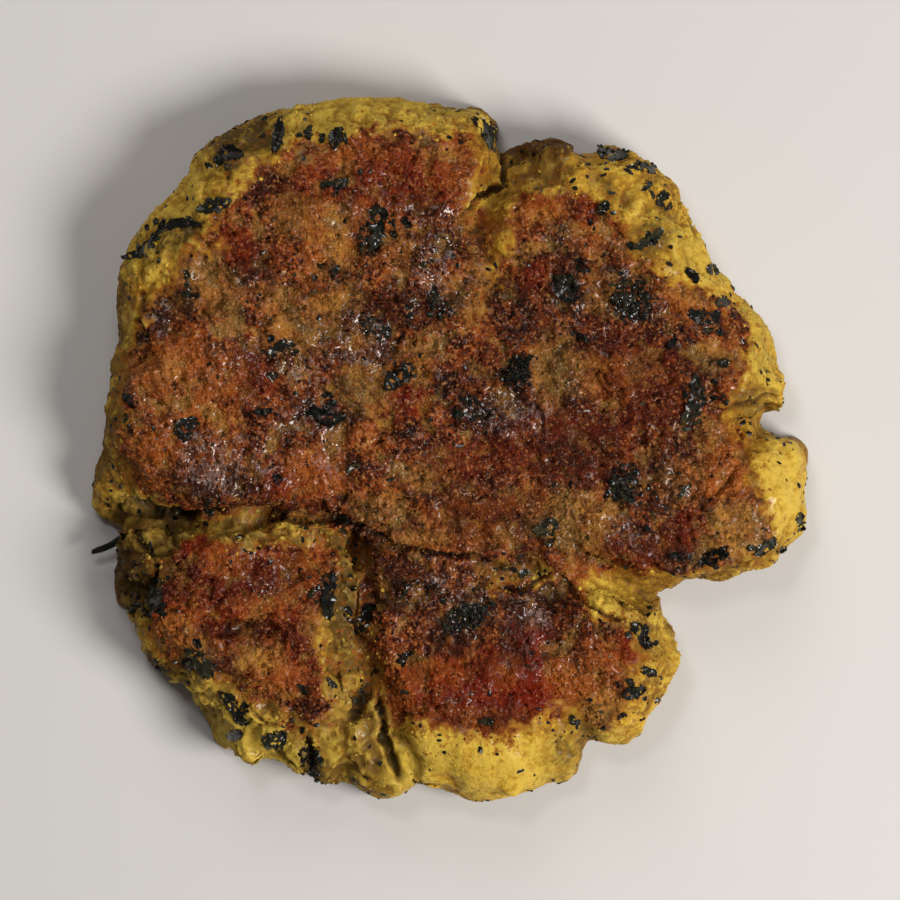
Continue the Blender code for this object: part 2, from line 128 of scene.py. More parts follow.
# The cake's own rim as seen from above, with every crumb that sticks out
RIM = [
    (-62, -13.8), (-64, -12.6), (-65.2, -11.2), (-65.5, -9.6), (-65.2, -7.6), (-65, -5), (-64.8, -3),
    (-63.8, -1.4), (-63.6, 1), (-63, 4), (-62.8, 8), (-61.9, 11.4), (-62.4, 14.2), (-61.4, 17),
    (-60.4, 19.4), (-60.8, 23), (-60.9, 27), (-60.8, 30), (-60.2, 33), (-59, 35.4), (-58.4, 37.8),
    (-56.8, 39.8), (-55.6, 41.6), (-54.2, 43.2), (-52.6, 44.6), (-51, 46), (-49.8, 47.6), (-48.4, 49),
    (-47.6, 50.6), (-47.4, 52.4), (-46, 54.2), (-44.6, 55.4), (-42.6, 56.6), (-41, 57.6), (-39, 58.8),
    (-37, 59.6), (-35, 60.6), (-33, 61.2), (-31.4, 61.8), (-28, 62), (-25, 62.9), (-22.6, 63.2),
    (-20.4, 63.8), (-19.6, 64), (-18.6, 63.6), (-17.6, 64), (-15, 63.8), (-12.6, 64), (-10.4, 64),
    (-8.6, 64), (-7.4, 63.4), (-6, 63), (-4.6, 62.4), (-3, 63.4), (-1.6, 62.4), (0, 62), (1.4, 62.2),
    (3, 61.8), (4.4, 62.6), (6, 62), (7.2, 60.8), (7.6, 59.8), (8.6, 59.8), (8.8, 58), (7.8, 56.4),
    (8.2, 54.6), (9.4, 53.8), (11, 54.8), (13, 55.4), (15.4, 55.9), (18, 56.4), (20, 56.6), (21.6, 56),
    (22.4, 54.6), (22.8, 53.4), (24, 53), (26, 53.4), (27, 54.4), (28.4, 55.4), (30, 55), (31.6, 54.6),
    (33.4, 54), (35, 52.8), (36.4, 52.4), (37.6, 51.2), (38.4, 50.2), (40, 49.4), (41.4, 48.4), (41.8, 47),
    (42.2, 45.2), (43, 43.4), (44.4, 41), (45, 39.6), (46.2, 37.8), (46.8, 36), (47.8, 34), (48.8, 32.4),
    (50.4, 31.4), (51.8, 30), (51.4, 28.8), (52.2, 27.8), (54.2, 26.8), (55.4, 25.2), (57.2, 23.4),
    (58.4, 21.6), (59, 20), (59.6, 17), (59.8, 15), (60.2, 14), (61.4, 13), (61.2, 11.4), (60.6, 9.8),
    (60.8, 7.8), (59.6, 6.4), (57.4, 6.2), (55.4, 6.6), (54.4, 5.2), (54.8, 3.8), (57, 3.8), (58.6, 3),
    (60, 2), (61.4, 1.2), (62.8, 2), (64.2, 2), (65.2, 0.8), (65.5, -1.4), (65.5, -3), (65.3, -5), (65, -7),
    (64.8, -9.4), (65.2, -12), (65, -14), (64.4, -16), (62.8, -17.2), (61.4, -18.4), (60.2, -20.2),
    (58.6, -21.6), (56.4, -22.4), (54.4, -22.4), (52.6, -23.2), (51, -24.2), (49, -24.8), (47, -24),
    (45.4, -24), (43.6, -23.8), (42, -24.8), (40.6, -26), (39, -27), (38.4, -28.4), (38.6, -30),
    (39, -31.8), (40.6, -32.4), (41.2, -34), (40.8, -35.2), (41.6, -36.4), (42.2, -37.8), (42, -40),
    (41, -41.6), (40, -42.8), (39.6, -44.6), (38.6, -46.4), (37, -48), (36, -49.4), (35.4, -51),
    (35, -52.6), (33.8, -52.8), (32.6, -54.2), (30.4, -54.6), (28.6, -54), (27, -53.8), (25.6, -53),
    (25, -54.4), (24.2, -56), (23.8, -58), (23, -59.8), (22, -60.4), (21.2, -61.6), (19.6, -61.4),
    (18, -61), (16.4, -62.4), (14, -63), (11.6, -63.8), (9.4, -64.2), (7, -64.6), (5, -65), (3.4, -64.6),
    (2.4, -63.8), (0.6, -63.4), (-1, -62.8), (-2.4, -61.8), (-4, -61.2), (-5.4, -60.8), (-6.4, -61.8),
    (-7.2, -63), (-9, -63.8), (-11, -64.2), (-13, -64.2), (-15.2, -63.6), (-16.2, -62.4), (-17.8, -61.8),
    (-19.4, -60.8), (-20.6, -61.6), (-22.4, -61.8), (-24.4, -60.6), (-25.4, -59.8), (-27.6, -60),
    (-29.6, -58.6), (-30.6, -56.8), (-32, -57), (-33.6, -56.2), (-34.6, -57.2), (-36, -58), (-37.6, -57.4),
    (-38.8, -55.8), (-39.8, -54.8), (-41.4, -55.6), (-42.6, -54.6), (-43.4, -52.6), (-44, -50.6),
    (-45.2, -48.8), (-46.4, -47), (-47.2, -45.2), (-47.4, -43.6), (-48.8, -42.4), (-50, -43.2),
    (-51.4, -42), (-52, -40.9), (-54.4, -40.6), (-54.8, -39.4), (-55.6, -38.2), (-56.6, -37),
    (-56.4, -35.4), (-57, -33.6), (-58.2, -31.8), (-58.8, -30), (-59.4, -28.8), (-61, -29), (-61.8, -27.8),
    (-61.8, -26), (-61.2, -23), (-60.8, -20), (-61.2, -18), (-60.2, -16.4), (-59.4, -15.2),
]
# Places inside the crust where bare mash shows, as ovals: middle x and y, half length, half width, turn
BARE_SPOTS = [
    (12.6, -23.2, 5.0, 1.8, 8), (8.6, 34, 1.1, 5.6, -14), (35.6, 37.4, 3.2, 1.4, 30), (-46, 36, 2.6, 1.8, 30),
]
# Crisp cracks: half width and depth in millimetres, then the points they run through
CRACKS = [
    (0.55, 2.0, [(-60, -10), (-54, -11.8), (-47, -13), (-40, -11.6), (-33, -12.6), (-26, -13.6), (-20, -13.2),
                 (-15.6, -15.4), (-11, -18.4), (-4, -19.8), (4, -20.2), (9, -22.4)]),
    (0.8, 2.4, [(-19, -15), (-16.6, -19), (-16, -23)]),
    (0.35, 0.9, [(-16, -23), (-17.2, -31), (-16.4, -37), (-14.6, -43)]),
    (0.7, 1.6, [(-14.4, -41.6), (-17, -48), (-18.8, -51)]),
    (0.7, 2.2, [(-14.4, -43.6), (-12.8, -48), (-11.8, -53), (-10.6, -57), (-8.6, -61)]),
    (0.9, 0.9, [(-47, -32.6), (-42, -33.6), (-36, -32.8), (-30, -33.6)]),
    (0.5, 1.6, [(-57.6, -13.4), (-57, -17), (-54, -19.8), (-50.4, -18.4), (-50, -14.6), (-51, -12.4)]),
    (0.6, 1.8, [(-27, -52), (-25, -55), (-25.4, -59.4)]),
    (0.5, 1.5, [(10.4, 53), (9.8, 48), (5.6, 45.6), (3.2, 42), (4.4, 38)]),
    (0.45, 1.1, [(62, 9), (57, 8.6), (52.6, 8.2), (49, 5.4)]),
    (0.5, 1.5, [(7.6, -24.8), (13.6, -25.4), (19, -23.8), (23.4, -27), (28.6, -31), (33.4, -31.6)]),
    (0.45, 0.9, [(17, -16), (21.4, -17.2), (25.6, -20.6), (29, -22.4)]),
    (0.4, 1.0, [(-37.6, -46.8), (-34, -50.6), (-30.4, -51.4)]),
    (0.4, 0.9, [(-8, 22), (-10.6, 17), (-10, 12.6), (-7, 9)]),
    (0.4, 0.8, [(14.6, 9), (16.6, 5.4), (16.8, 0.8)]),
    (0.45, 1.0, [(54, -1), (50.6, -6.4), (46, -10.6), (47.6, -15)]),
    (0.45, 1.1, [(-57.6, 14), (-55, 18), (-57.4, 23), (-56, 29)]),
    (0.4, 0.9, [(24, 3), (28, -1.4), (33, -2)]),
]
CRACK_TAPER = 3.0  # millimetres over which a crack grows shallow at its ends
CRACK_FLOOR, CRACK_LIP = 0.25, 1.9  # in half widths: full depth inside the first, none beyond the second


def beside(x, y, ax, ay, bx, by):
    """Millimetres from each place to the stretch from a to b."""
    share = np.clip(((x - ax) * (bx - ax) + (y - ay) * (by - ay)) / ((bx - ax) ** 2 + (by - ay) ** 2), 0, 1)
    return np.hypot(x - ax - share * (bx - ax), y - ay - share * (by - ay))


def inside_outline(x, y, outline):
    """Millimetres inside a closed outline, and negative outside it."""
    nearest = np.full(len(x), FAR)
    odd = np.zeros(len(x), bool)
    for (ax, ay), (bx, by) in zip(outline, outline[1:] + outline[:1]):
        nearest = np.minimum(nearest, beside(x, y, ax, ay, bx, by))
        if ay != by:
            crossed = (ay > y) != (by > y)
            odd ^= crossed & (x < (bx - ax) * (y - ay) / (by - ay) + ax)
    return np.where(odd, nearest, -nearest)


def inside_crust(x, y):
    """Millimetres inside the browned crust, and negative where mash is bare."""
    depth = np.maximum(inside_outline(x, y, MAIN_CRUST), inside_outline(x, y, SOUTH_WEST_CRUST))
    for spot in BARE_SPOTS:
        depth = np.minimum(depth, -inside(x, y, spot))
    return depth


def crack_depth(x, y):
    """How many millimetres deep a crack cuts at each place."""
    depth = np.zeros(len(x))
    for half_width, deepest, path in CRACKS:
        away = np.full(len(x), FAR)
        for start, end in zip(path, path[1:]):
            away = np.minimum(away, beside(x, y, *start, *end))
        ends = np.minimum(*[np.hypot(x - end_x, y - end_y) for end_x, end_y in (path[0], path[-1])])
        taper = smooth_step(ends, 0.0, CRACK_TAPER)
        open_share = 1 - smooth_step(away, CRACK_FLOOR * half_width, CRACK_LIP * half_width)
        depth = np.maximum(depth, deepest * taper * open_share)
    return depth


# %% The marked places, in millimetres: middle x and y, half length, half width, turn, strength
GOLDEN = [
    (-28, 21.4, 4.8, 4.2, 0, 0.8), (28, -48.4, 5, 3.4, 0, 0.8), (-42, 28.4, 4.8, 4.2, 0, 0.6),
    (-49, 28.4, 4, 3.6, 0, 0.5), (-7, 14.4, 4, 3.6, 0, 0.5), (42, -6.4, 4, 4, 0, 0.4),
    (-28, 42.4, 4.6, 4, 0, 0.5), (28, 28.4, 4.4, 4, 0, 0.5), (-20.4, 38.6, 2.8, 5.6, 0, 1.0),
    (18.8, 14, 3.0, 6.4, 0, 1.0), (-20.6, 26.4, 4.4, 2.6, 20, 0.8), (-30.4, 27, 4.2, 2.4, -20, 0.8),
    (-15.4, 11.2, 4.0, 4.6, 0, 1.0), (-17, 20, 3, 2, 0, 0.7), (24, -13.6, 6.4, 5.4, -20, 0.9),
    (13.4, -14.6, 5, 2, 20, 0.8), (53, -15.6, 6, 4.8, -10, 1.0), (-46.6, 34, 4.4, 4, 40, 0.8),
    (7.4, 35, 2.2, 7, -14, 0.9), (4.4, 41, 3.0, 2.4, 0, 0.8), (-47, -36, 5, 2.2, -40, 0.8),
    (-35.4, -38.4, 4.4, 2.6, 0, 0.9), (24, -17.6, 5, 2.0, -30, 0.7), (2.6, 27, 2.6, 3.6, 0, 0.7),
    (36, 38, 4.4, 2.8, 30, 0.8), (-12.6, -11, 5, 2.6, 10, 0.7), (-4, -5, 3.6, 2.4, 30, 0.7),
    (-23.4, -34, 2.6, 3.6, 0, 0.8), (24.4, 13.6, 3, 3.6, 0, 0.6), (-9, 36, 2.4, 3.4, 0, 0.6),
    (-51, 14.6, 3, 2, 20, 0.6), (-8, -17, 5, 2.0, 0, 0.7), (43, 28, 4, 2.2, -30, 0.5),
    (-1, -16, 3, 1.6, 20, 0.6), (48, 3.4, 3, 2, 0, 0.6),
]
ORANGE = [
    (-14, 39, 5, 6, 0, 0.6), (-49, -34.4, 4, 5, 0, 0.7), (-25, 36.4, 2.4, 6, 0, 1.0),
    (-50, 12, 6.4, 9, 0, 0.8), (-41, 13, 5, 5, 0, 0.6), (-24, -4.4, 5, 4.6, 0, 0.8),
    (-53, -2, 4.4, 6, 0, 0.7), (10, 43.4, 3, 3, 0, 0.8), (16, 44, 4.6, 3, 0, 0.9), (-41, -20, 4, 3, 0, 0.7),
    (26, 38.6, 4, 3, 0, 0.6), (42, 25.6, 4.4, 2.4, -20, 0.8), (30, 13, 4.4, 4, 0, 0.6),
    (51, -4.4, 4.4, 5.6, 0, 0.9), (23, -43, 4.6, 4.2, 0, 0.8), (-31, -42.6, 5, 3, -20, 0.8),
    (-27, -23, 4, 4, 0, 0.6), (-53.6, -33, 2.4, 3, -30, 0.9), (-17, 53.6, 8, 2.4, 0, 0.5),
    (1, 52, 2.4, 5, 0, 0.7), (-33, 53.4, 5, 2, 30, 0.6), (24, -24, 3.6, 2.6, -30, 0.8),
    (14, -9, 5, 2.4, 0, 0.5), (-9, -44, 2.4, 5, 0, 0.8), (8, -50, 12, 2.0, -4, 0.8),
    (10, -41, 3.4, 2.4, 0, 0.6), (-2, -40, 4, 2.4, 0, 0.5), (-43, 3, 4, 4, 0, 0.5), (26, -14, 3, 2, 0, 0.6),
    (-18, 2, 4, 3, 0, 0.5), (4, -13, 6, 5, 0, 0.4), (29, -40, 4, 4, 0, 0.5), (-32, -28.6, 6, 1.8, 0, 0.5),
    (52, 17, 2, 4, 0, 0.6),
]
DEEP_RED = [
    (5, -13.6, 8, 3.4, 0, 0.5), (33, -19, 5, 3, 0, 0.4), (0, -44.6, 9.6, 6, -8, 0.9),
    (12, -45, 8, 6, 20, 1.25), (4, -41, 9, 5, 10, 0.8), (14, -37.6, 4, 6, -10, 1.2),
    (-5.4, -47, 5, 3, -20, 0.9), (-36, -35, 13, 9, -20, 0.45), (9, -49.4, 9, 2.4, -6, 1.2),
    (20, 0, 14, 7, 0, 0.4), (-44.6, -17, 4.4, 2.8, 0, 1.0), (-36, -23, 13, 5, 0, 0.5),
    (15.8, 44.2, 4.4, 2.6, 0, 0.5), (25, 43.4, 2.6, 2.4, 0, 0.4), (33, 14, 8, 5, 0, 0.6),
    (-42, 51.4, 3.4, 1.8, 20, 1.0), (33, -37, 2, 5, 0, 0.9), (-9, 48.6, 10, 6, 0, 0.6),
    (-39, 37, 4.4, 5, 0, 0.5), (-35.6, 13, 5, 4.4, 0, 0.6), (-8.6, 9.6, 4.4, 4, 0, 0.7),
    (-28, -7, 6, 3, 0, 0.7), (36, 5.6, 4.6, 4, 0, 0.4), (6, 42, 4, 1.8, 0, 0.8),
    (39, -23.4, 4.4, 2, 0, 0.9), (-51.6, -29.6, 2.6, 3.6, -30, 0.8), (16, 31, 5, 3.4, 0, 0.5),
    (22, 3, 7, 2.6, 0, 0.7), (-24, 47, 7, 3.6, 10, 0.4), (28, 20, 5, 3, 0, 0.3), (1, -3, 5, 4, 0, 0.5),
    (43, -15, 4, 3, 0, 0.6),
]
DARK = [
    (-9, 25, 9, 4.6, 0, 0.8), (-14.4, 37.4, 2.4, 4.4, 0, 0.4), (-43, -6.4, 9, 3.8, 0, 1.0),
    (21.4, -1.6, 9, 3.6, 0, 1.0), (8, 7, 8, 4.6, 0, 0.8), (20, 30.4, 3.6, 5, 0, 0.8),
    (10, 28.4, 3.4, 2.8, 0, 0.8), (-34.4, 31, 4, 4.6, 0, 0.6), (-23.4, 6.4, 6, 2.6, -20, 0.9),
    (-53.8, 24.6, 3.4, 3.2, 0, 1.0), (-14, 16.4, 5, 3, 0, 0.7), (36, -15.6, 6, 3.4, 0, 0.7),
    (-7.6, -25.6, 9, 4.8, 0, 0.9), (14.8, -28.6, 6, 5, -20, 1.0), (3, -30, 9, 5.6, 0, 0.8),
    (-12, -20, 4, 3, 0, 0.7), (31, 21, 4, 2.4, 0, 0.5), (46, 13, 6, 2.6, 20, 0.8),
    # The long thin oval under the shelf, at y -11.8, is a painted shadow line along the crust's edge
    (-37, -11.8, 18, 1.2, 0, 1.0), (-38, -33.8, 9, 1.1, 0, 1.0), (-1.4, 25, 3.6, 4, 0, 0.8),
    (11.4, -35.4, 3.6, 4.4, 0, 0.9), (-26.4, -46, 3, 3.4, 0, 0.8), (-36, 47, 3, 2.4, 0, 0.6),
    (-48.6, 27.4, 2.2, 3, 0, 0.8), (9, -48.4, 5, 1.5, 10, 0.8), (-17, -3.4, 2.2, 2, 0, 0.8),
    (21, -33, 3.4, 2.8, 0, 0.7), (4.6, -17, 6, 2, 0, 0.4), (-2.6, 36, 3, 6, 0, 0.5),
    (-28.4, 14.4, 3.6, 4, 0, 0.5), (41, -9, 3.6, 3, 0, 0.2), (-46.6, -25, 4, 4, 0, 0.4),
    (24, 8, 20, 24, 0, 0.4), (34, 14, 9, 6, 0, 0.5), (26, 27, 6, 5, 0, 0.4), (18, -10, 26, 9, -8, 0.3),
    (36, 5, 5, 4, 0, 0.6), (9, -39.4, 5, 3, 20, 0.4), (3, -49.6, 5, 1.6, -4, 0.7), (-30, -24, 6, 3, 0, 0.5),
    (22, 4, 8, 3, 0, 0.6), (9, -49.6, 10, 1.6, -4, 0.8), (-5, -48, 4, 2, 0, 0.4),
    (0, -34.4, 5, 3.4, 0, 1.2), (42, -20.4, 5, 3.4, 0, 1.0), (6, -13.6, 9, 3.6, 0, 0.7),
    (14, -20.4, 5, 3, 0, 0.6), (-21, 21.4, 4.4, 4, 0, 0.5), (-35, 14.4, 5, 4, 0, 0.5),
    (-7, 42.4, 4.6, 4, 0, 0.7), (-42, 0.6, 5, 4, 0, 0.3), (-42, -41.4, 5, 4, -30, 0.9),
    (7, -20.4, 5, 3, 0, 0.5), (-7, 35.4, 4, 3.4, 0, 0.5), (28, 14.4, 5, 4, 0, 0.4),
    (-21, 14.4, 4, 3.4, 0, 0.5), (-29, 3, 3, 2.4, 0, 0.5), (2, 14, 3, 2, 0, 0.5), (30, 31, 5, 2, 0, 0.6),
    (-20, -11, 4, 1.6, 0, 0.7),
]
OILY = [
    (-44, -3, 6, 6.4, 0, 1.0), (-33, -5.6, 4, 5, 0, 0.8), (-3, 36, 4, 8, 0, 0.9), (-16, 20, 5, 5.4, 0, 1.0),
    (-25, 16, 4, 5, 0, 0.8), (10, 6, 8, 5, 0, 0.9), (15.4, -29, 3.4, 7, 0, 1.0), (14, -38, 5, 6, 0, 1.0),
    (-26, 6, 6, 4, -20, 0.8), (-38, 16, 8, 5, 0, 0.6), (-34, -22, 7, 4, 0, 0.7), (3, -26, 8, 4, 0, 0.7),
    (32, -16, 5, 4, 0, 0.6), (-14, 46, 5, 4, 0, 0.5), (-54, 24, 3, 3, 0, 0.9), (6, -46, 10, 4, 0, 0.6),
    (22, 28, 6, 4, 0, 0.4), (-52, 8, 5, 6, 0, 0.4), (-23, -3, 3, 6, 0, 0.8), (60, -8, 4, 8, 0, 0.5),
]
BURNT = [
    (33.2, 27, 4.2, 4.0, 70, 1.0), (32, -6.6, 3.8, 3.6, 80, 1.0), (3.4, -30.8, 4.8, 2.6, 20, 1.0),
    (12.6, 13.6, 3.6, 3.0, 60, 1.0), (-23.4, 5.6, 3.6, 1.4, -20, 0.8), (-59.4, -20, 2.0, 6, 8, 0.5),
    (-54.4, -27.6, 3.6, 2.4, 40, 1.0), (44.6, 7.6, 4.4, 1.6, 75, 1.0), (20.6, 29.6, 3.2, 2.0, -50, 0.9),
    (-7, 25, 2.6, 2, 60, 0.7), (-1.4, 25.4, 2.2, 2.6, 0, 0.8), (-24.6, -58, 2.2, 4, 40, 0.9),
    (14.6, -38.4, 2.2, 2.0, 0, 0.5), (4.4, 7, 4, 2.4, -30, 0.8), (-49, 2.6, 3, 1.4, -40, 0.7),
    (-47.6, -40, 2.6, 1.6, -40, 0.9), (8.4, 57.4, 2, 3.4, -40, 0.8), (-13.4, 21.4, 4, 1.8, -30, 0.8),
    (-14.4, 38, 1.6, 4, 0, 0.8), (46.4, 23.4, 2.8, 1.4, -10, 0.9), (-6, -25, 5, 1.6, 0, 0.7),
    (24.6, 20.2, 3, 1.4, 0, 0.7), (11.4, -21.6, 4, 1.2, 20, 0.8), (41.6, -19.6, 4, 1.6, 0, 0.7),
    (-36, 7, 3, 1.0, 0, 0.7), (-24, 33, 1, 1, 0, 0.8), (-47.6, 27, 1.2, 2.4, 0, 0.8),
    (-10.6, 15.4, 1, 4, 40, 0.7), (17, 20, 2, 2.4, 0, 0.4), (-22.4, -25.6, 1.4, 4, 0, 0.9),
    (37, -8.4, 1.6, 3, 30, 0.6), (-8.6, -38.4, 2.2, 1.6, 0, 0.7), (-55, -39, 4, 1.2, -50, 0.8),
]
# Painted light: places where the mash is painted paler and brighter, on the rim faces that light falls on
# most
LIT_MASH = [
    (60.6, -8, 5, 9.6, 0, 1.0), (6, -58, 18, 6.4, -6, 1.0), (31, -53, 8, 4, 20, 0.6),
    (-36, -55.6, 6, 4.4, 0, 3.0), (-53.4, 31.6, 2.2, 2.2, 0, 1.0), (-42, -48.6, 9, 3.4, -42, 1.6),
    (-29, -58, 6, 3, 0, 1.4), (-5, -58, 6, 6, 0, 1.2), (-22, -57, 5, 4, 0, 1.0), (-52, -38, 3, 8, 40, 0.8),
    (-60.6, 12, 2, 2.6, 0, 0.8), (-58.6, 20.6, 2, 3, 0, 0.9), (-62.6, 0, 2, 2, 0, 0.6),
    (-59, -8.6, 2, 2, 0, 0.7), (27.6, -27, 4.6, 3.4, -30, 1.0), (-16, 60, 22, 5, 0, 1.2),
    (56.6, 17, 4, 9, 10, 1.0), (38.6, -37, 3.4, 8, 0, 0.6), (45, 35, 5, 10, 35, 0.8),
    (32, 46, 9, 5, -30, 0.5), (-34, -14, 8, 2.4, 0, 0.8), (-37, -15.6, 3, 2, 0, 0.5),
    (-19, -40, 2.4, 7, 0, 0.3), (-59.6, -27.4, 2.0, 2.6, 0, 0.8), (-53, -16.4, 3, 2.4, 0, 0.4),
    (-16, -52, 4, 3.6, 0, 0.5), (-51, 42, 14, 5, 42, 0.9), (59, -18, 4, 2.4, 30, 0.4),
]
# Olive mash: herb stain, and painted shade on the west rim and in some crevices
OLIVE_STAIN_AND_SHADE = [
    (21, -55.4, 4, 3.4, 0, 0.9), (56, 17, 4, 6, 0, 0.4), (42, 35.4, 5, 4, 0, 0.4),
    (-21, -55.4, 5, 4, 0, 0.5), (-37, 55.6, 7, 3.6, 30, 1.6), (-18.4, -28, 3.6, 11, 4, 1.5),
    (15, 53.4, 6, 2.8, 0, 1.0), (-56, -22, 4, 6, 0, 0.9), (-52, -42, 3, 10, -40, 0.9),
    (-14, -60, 6, 4, 0, 0.5), (8, 46, 4, 3.4, 0, 0.4), (-61, 6, 3, 14, 0, 0.9), (11, -23, 7, 2.6, 0, 1.0),
    (24.6, -52, 2.4, 3.4, 0, 1.0), (33, -24.6, 9, 2.2, -20, 0.5), (55, 8, 5, 3, 0, 0.6),
    (-50, 38.6, 5.6, 3, 20, 1.3), (36, 38, 5, 3.0, 35, 1.0), (-58, -10, 5, 4, 0, 0.9),
    (35, -35, 1.6, 3.6, 30, 0.9), (30, 54, 6, 1.6, -20, 0.5), (-30, -57, 6, 2.4, 0, 0.4),
    (22, -58, 3, 3, 0, 0.5), (4, 42.4, 1.8, 2.6, 0, 0.9), (-37, -15, 5, 2, 0, 0.4),
    (-24, -15, 4, 2, 0, 0.7), (-62, 24, 2.4, 10, 0, 1.1), (-57, 36, 3.4, 3, 40, 0.6),
    (-16, -48, 2, 6, 0, 0.6), (-20, -39, 2.8, 5, 0, 0.9), (58, -19, 5, 1.6, 30, 0.6),
    (46, -22.6, 8, 1.4, 10, 0.7), (-44, 47.6, 3, 2, 30, 0.3), (-2, 63, 5, 1.6, 0, 0.4),
    (-26, 60.6, 3, 2, 30, 0.6), (-12, 58.6, 3, 1.6, 20, 0.6), (0, 59, 3, 1.6, -20, 0.6),
    (-42, -47, 4, 2, -40, 0.7),
]
# Singed mash, dark brown; the lump low in the north valley and the notches in the east rim get it as painted
# shadow
SINGED_AND_SHADOW = [
    (16, 53.8, 6.4, 2.6, 4, 1.0), (-59, -21, 2.6, 5.6, 0, 0.6), (-22.4, -60, 2.6, 1.8, -30, 0.9),
    (54.6, 8.6, 3.4, 2.4, 30, 0.6), (-54, -39.4, 2.6, 1.4, -50, 0.8), (41, -34, 1.2, 1.6, 0, 0.6),
    (3, 62.6, 4, 0.8, 0, 0.8), (58.4, 6.6, 3, 0.8, 0, 0.8), (29.4, 46.8, 3.0, 1.1, -45, 1.0),
    (-50, -42.6, 3, 1.0, -40, 0.8), (30, -54, 6, 0.8, 0, 0.5), (-62.6, -2, 1.6, 4, 0, 0.6),
]
# Soft mash that fills the creases: an oval, and the height in millimetres that it nearly reaches
FILLS = [
    (-18.8, -27, 3.6, 8.6, 4, 16.8), (-18.8, -41, 3.8, 8, -8, 16.4), (-14.6, -53.6, 4.2, 6, -14, 14.6),
    (-17.4, -51, 4.4, 4.6, 0, 15.4), (-20, -56, 4, 3, 0, 12.0), (-12, -60, 4, 3, 0, 10.0),
    (-8.4, -55.4, 3.2, 8, -10, 14.6), (-5, -61, 3, 3, 0, 12.5), (-11.4, -47.4, 3.4, 5, 30, 16.2),
    (-50, -22, 8, 3, 0, 16.0), (-56, -17, 5, 4, 0, 12.0), (-12.6, -55.6, 5, 6, -14, 14.4),
    (-22, -53, 5, 5, 0, 14.4), (-24, -13.6, 10, 2.6, 0, 16.4), (-28, -57.4, 6, 3.4, 10, 12.4),
    (-36, -55, 4, 3, 0, 13.4),
]
CRUMBLY = [
    (-50, -40, 14, 22, -30, 0.8), (-25, -51, 16, 12, 0, 0.8), (-54, -18, 12, 10, 0, 1.0),
    (-17, -30, 6, 14, 0, 1.0), (-34, -15, 14, 4, 0, 1.2), (11, -23, 8, 4, 0, 0.8), (-16, -52, 8, 9, 0, 0.8),
    (15, 50, 8, 8, 0, 0.6), (34, -33, 8, 8, 0, 0.7), (-58, 4, 8, 16, 0, 0.6), (40, 46, 12, 10, -40, 0.4),
    (58, 12, 6, 9, 0, 0.3), (40, -40, 7, 12, 0, 0.5), (54, -20, 9, 5, 20, 0.5), (-14, 60, 28, 7, 0, 0.5),
    (-50, 42, 18, 8, 42, 0.5), (32, -27, 9, 5, -20, 0.5),
]
print(len(MAIN_CRUST) + len(SOUTH_WEST_CRUST), "points of crust outline,", len(BURNT), "burnt places")

# %% The burnt stem: points along it in millimetres, each with the stem's half thickness
STEM = [
    (-66.2, -19.4, 5.2, 0.25), (-64.6, -18.9, 5.6, 0.75), (-62.4, -18.2, 6.1, 0.60),
    (-60.4, -16.9, 6.8, 0.75), (-58.2, -15.4, 7.6, 0.85), (-55.8, -14.9, 8.2, 0.70),
    (-53.6, -14.6, 8.4, 0.35),
]
STEM_CORE = 0.25  # how far the solid's own stem is drawn in, so that the finer one covers it

# %% Herb leaves: middle x and y, length, width in millimetres, turn in degrees
CLUMP_WIDTH = 4.0  # a place this wide, in millimetres, holds a clump of scraps instead of one leaf
LEAVES = [
    (-40.5, 53.3, 5.0, 3.4, 20), (-31.4, 57.0, 6.6, 2.4, 80), (-20.8, 56.5, 4.4, 2.4, 70),
    (-21.0, 48.0, 5.2, 2.2, 10), (-43.0, 44.0, 6.6, 2.4, 15), (-50.0, 40.4, 9.0, 2.2, 12),
    (-56.5, 36.0, 7.0, 2.0, 35), (-13.3, 40.0, 8.4, 3.0, 85), (-9.3, 12.7, 6.4, 3.0, 40),
    (-22.6, 5.6, 6.6, 3.2, -20), (-48.0, 3.4, 5.2, 3.0, 60), (-31.0, 18.0, 5.4, 2.2, 30),
    (6.4, 57.6, 6.4, 2.4, -60), (29.6, 53.6, 5.6, 2.8, -10), (35.0, 51.0, 5.4, 1.7, -12),
    (38.7, 45.3, 3.0, 2.0, 50), (28.0, 43.6, 2.8, 2.0, 60), (36.4, 37.8, 6.4, 2.0, 35),
    (33.4, 26.8, 8.4, 6.4, 70), (46.2, 23.7, 6.0, 2.6, -10), (44.5, 8.7, 9.0, 3.0, 75),
    (12.6, 14.0, 6.4, 4.6, 60), (20.6, 28.6, 5.6, 3.4, -50), (32.0, -7.0, 7.6, 5.4, 80),
    (17.6, -14.8, 4.6, 3.4, 30), (48.0, -20.0, 5.6, 2.6, 35), (57.6, -18.2, 4.8, 2.4, 40),
    (3.3, -31.0, 8.0, 5.4, 40), (34.8, -34.2, 5.4, 2.2, -62), (33.6, -44.8, 4.6, 2.4, 20),
    (-22.0, -27.0, 8.4, 2.8, 85), (-45.6, -39.3, 6.4, 3.0, -50), (-40.0, -47.0, 6.0, 2.2, -60),
    (-32.0, -53.4, 4.6, 3.0, 10), (-53.6, -28.6, 6.0, 3.2, -80), (-15.4, -31.0, 5.4, 2.6, 60),
]
